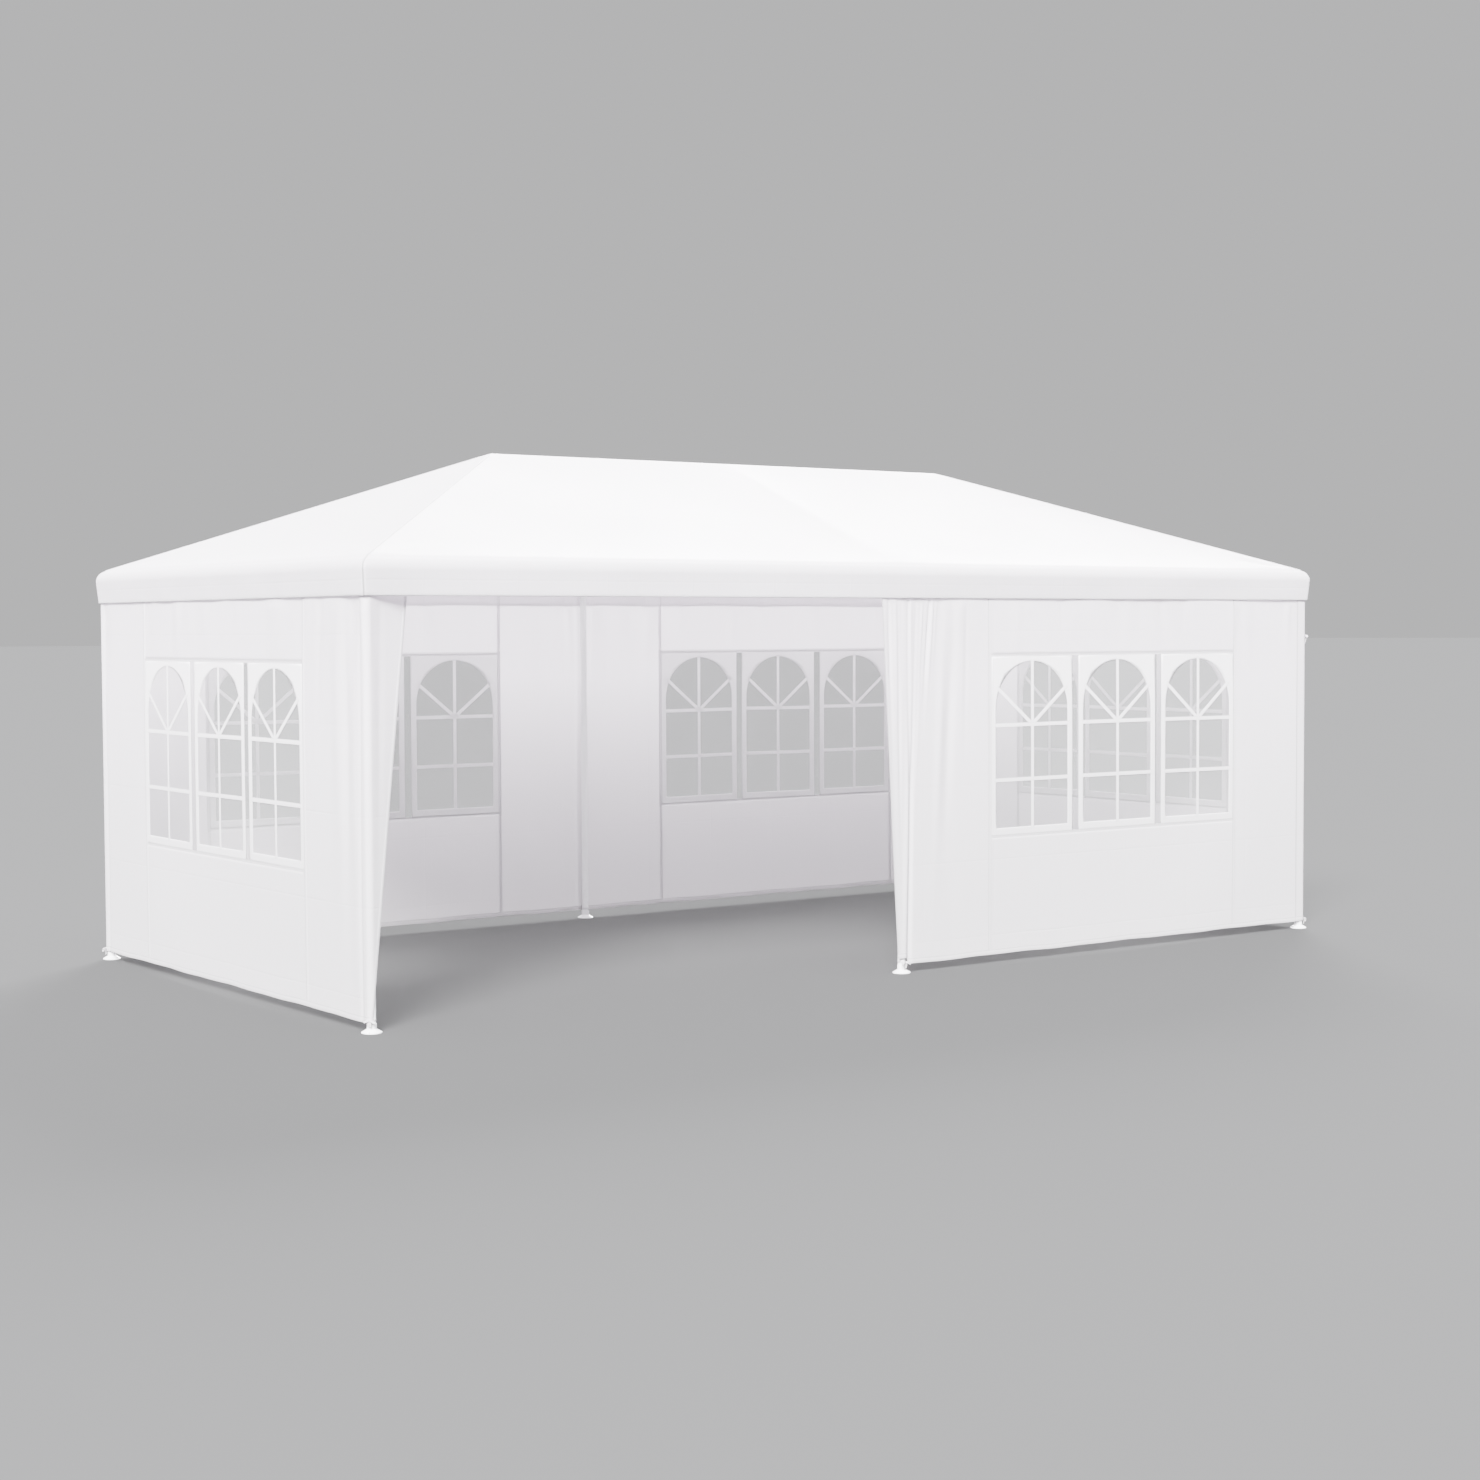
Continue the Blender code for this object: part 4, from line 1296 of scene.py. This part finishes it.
class MARQUEE_OT_set_studio(bpy.types.Operator):
    """Sets the camera, the floor and the soft light."""

    bl_idname = "marquee.set_studio"
    bl_label = "Set the studio"

    def execute(self, context):
        studio = context.scene.marquee_studio
        lens = bpy.data.cameras.new("camera")
        lens.lens = studio.lens
        camera = placed("camera", lens)
        turn = Matrix.Rotation(-studio.camera_yaw, 4, "Z")
        tilt = Matrix.Rotation(math.pi / 2 + studio.camera_pitch, 4, "X")
        roll = Matrix.Rotation(studio.camera_roll, 4, "Z")
        camera.matrix_world = Matrix.Translation(studio.camera_place) @ turn @ tilt @ roll
        context.scene.camera = camera
        self.add_floor(studio)
        self.add_light(studio, "front_light", FRONT_LIGHT, studio.key_strength)
        self.add_light(studio, "back_light", BACK_LIGHT, studio.key_strength * studio.back_share)
        context.scene.world = self.dome(studio)
        return {"FINISHED"}

    def dome(self, studio):
        """Light all round: a plain backdrop, and above it a soft dome that grows brighter."""
        world = bpy.data.worlds.new("studio")
        world.use_nodes = True
        wiring = Wiring(world.node_tree)
        up = wiring.node("ShaderNodeSeparateXYZ", inputs={0: wiring.node("ShaderNodeTexCoord")}, output=2)
        bounds = {0: up, 1: BACKDROP_TOP, 2: DOME_FOOT}
        share = wiring.node("ShaderNodeMapRange", {"interpolation_type": "SMOOTHSTEP"}, bounds)
        above = toned(studio.dome_light, studio.dome_strength)
        light = wiring.blend(share, tuple(studio.backdrop_light), above)
        wiring.feed(world.node_tree.nodes["Background"].inputs[0], light)
        return world

    def add_floor(self, studio):
        """A level square round the origin."""
        half = studio.floor_size / 2
        run, depth = np.meshgrid(np.linspace(-half, half, 9), np.linspace(-half, half, 9))
        mesh = mesh_from("floor", [patch(together(run, depth, 0 * run), [])])
        finish = Finish("pale_floor")
        pale_floor(finish, tuple(studio.floor_colour), studio.floor_glow)
        mesh.materials.append(finish.material)
        floor = placed("floor", mesh)

    def add_light(self, studio, name, direction, strength):
        """A very soft light that comes from a direction, the same all over the floor."""
        light = bpy.data.lights.new(name, "SUN")
        light.energy = strength
        light.angle = studio.light_softness
        holder = placed(name, light)
        holder.rotation_mode = "QUATERNION"
        holder.rotation_quaternion = Vector(direction).to_track_quat("Z", "Y")


class MARQUEE_OT_finish_frame(bpy.types.Operator):
    """Gives the tubes, feet and joints of the frame their finishes."""

    bl_idname = "marquee.finish_frame"
    bl_label = "Finish the frame"

    def execute(self, context):
        for name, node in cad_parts.items():
            for slot in node.material_slots:
                slot.material = finished("white_joint_plastic" if "joint" in name else "white_powder_coat")
        return {"FINISHED"}


class MARQUEE_OT_add_cover(bpy.types.Operator):
    """Adds the roof and its valance as one sheet, with its hem and hip seams."""

    bl_idname = "marquee.add_cover"
    bl_label = "Add the cover"

    def execute(self, context):
        cloth = context.scene.marquee_cloth
        cover = add_piece("cover", [cover_patch()], "cover_sheeting", cloth.thickness)
        sides = ("front", "back", "left", "right")
        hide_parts(*(f"roof_{side}_slope" for side in sides), *(f"valance_{side}" for side in sides))
        bands = [hip_band(cloth, number, *corner) for number, corner in enumerate(CORNERS)]
        bands.insert(0, hem_band(cloth))
        seams = add_piece("cover_seams", bands, "cover_seam_sheeting", cloth.thickness)
        return {"FINISHED"}


class MARQUEE_OT_add_walls(bpy.types.Operator):
    """Adds the cloth of the five walls, with its seams and hems."""

    bl_idname = "marquee.add_walls"
    bl_label = "Add the walls"

    def execute(self, context):
        cloth = context.scene.marquee_cloth
        for wall in WALLS:
            run, height, faces = wall_grid(wall)
            sheet = patch(wall.point(run, height), [together(run, height)], faces)
            piece = add_piece("wall_cloth_" + wall.name, [sheet], "wall_sheeting", cloth.thickness)
            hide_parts(*wall.nodes)
            seams = add_piece("wall_seams_" + wall.name, wall_seams(wall, cloth), "wall_seam_sheeting")
        return {"FINISHED"}


class MARQUEE_OT_add_windows(bpy.types.Operator):
    """Adds the clear film, the arched frames and the glazing bars of every wall."""

    bl_idname = "marquee.add_windows"
    bl_label = "Add the windows"

    def execute(self, context):
        windows = context.scene.marquee_windows
        for wall in WALLS:
            grid = film_grid(wall, windows)
            film = add_piece(
                "film_" + wall.name, [grid], "clear_window_film", windows.film_thickness
            )
            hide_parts("window_film_" + wall.name)
            lights = range(windows.lights)
            frames = [arched_frame(wall, windows, number) for number in lights]
            sewn = add_piece("window_frames_" + wall.name, frames, "sewn_trim", windows.frame_thickness)
            bars = [strip for number in lights for strip in glazing_bars(wall, windows, number)]
            crossed = add_piece("window_bars_" + wall.name, bars, "sewn_trim")
        return {"FINISHED"}


class MARQUEE_OT_add_ties(bpy.types.Operator):
    """Adds the ribbon bows at the legs and the straps on the eave rails."""

    bl_idname = "marquee.add_ties"
    bl_label = "Add the ties"

    def execute(self, context):
        ties = context.scene.marquee_ties
        legs = sorted(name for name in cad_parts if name.startswith("leg_"))
        for number, leg in enumerate(legs):
            outward = outward_of(leg)
            heights = (LOW_TIE, HIGH_TIE) if leg in HIGH_TIED_LEGS else (LOW_TIE,)
            patches = [leg_ring(ties, leg, height) for height in heights]
            for tie, height in enumerate(heights):
                origin = ground_point(leg) + outward * BOW_STAND_OFF + (0, 0, height)
                patches += bow(ties, origin, outward, height - FOOT_TOP, 10 * number + tie)
            add_piece("ties_" + leg.removeprefix("leg_"), patches, "sewn_trim", ties.ribbon_thickness)
        for wall in WALLS:
            places = wall.length * (np.arange(STRAPS_ACROSS) + 0.5) / STRAPS_ACROSS
            straps = [rail_strap(ties, wall, run) for run in places]
            add_piece("straps_" + wall.name, straps, "sewn_trim", ties.ribbon_thickness)
        return {"FINISHED"}


class MARQUEE_PT_panel(bpy.types.Panel):
    """Lists the marquee's operators and settings."""

    bl_idname = "MARQUEE_PT_panel"
    bl_label = "Marquee"
    bl_space_type = "VIEW_3D"
    bl_region_type = "UI"
    bl_category = "Marquee"

    def draw(self, context):
        for operator in OPERATORS:
            self.layout.operator(operator.bl_idname)
        for settings in SETTINGS:
            group = getattr(context.scene, settings)
            box = self.layout.box()
            for name in group.__annotations__:
                box.prop(group, name)


OPERATORS = (
    MARQUEE_OT_set_studio,
    MARQUEE_OT_finish_frame,
    MARQUEE_OT_add_cover,
    MARQUEE_OT_add_walls,
    MARQUEE_OT_add_windows,
    MARQUEE_OT_add_ties,
)
SETTINGS = {
    "marquee_cloth": MarqueeCloth,
    "marquee_windows": MarqueeWindows,
    "marquee_ties": MarqueeTies,
    "marquee_finishes": MarqueeFinishes,
    "marquee_studio": MarqueeStudio,
}


def register():
    """Registers the settings, operators and panel."""
    for name, group in SETTINGS.items():
        bpy.utils.register_class(group)
        setattr(bpy.types.Scene, name, PointerProperty(type=group))
    for entry in (*OPERATORS, MARQUEE_PT_panel):
        bpy.utils.register_class(entry)


def unregister():
    """Removes what register added."""
    for entry in (MARQUEE_PT_panel, *reversed(OPERATORS)):
        bpy.utils.unregister_class(entry)
    for name, group in SETTINGS.items():
        delattr(bpy.types.Scene, name)
        bpy.utils.unregister_class(group)


def main():
    """Dresses the frame."""
    register()
    bpy.ops.marquee.set_studio()
    bpy.ops.marquee.finish_frame()
    bpy.ops.marquee.add_cover()
    bpy.ops.marquee.add_walls()
    bpy.ops.marquee.add_windows()
    bpy.ops.marquee.add_ties()


if __name__ == "__main__":
    main()
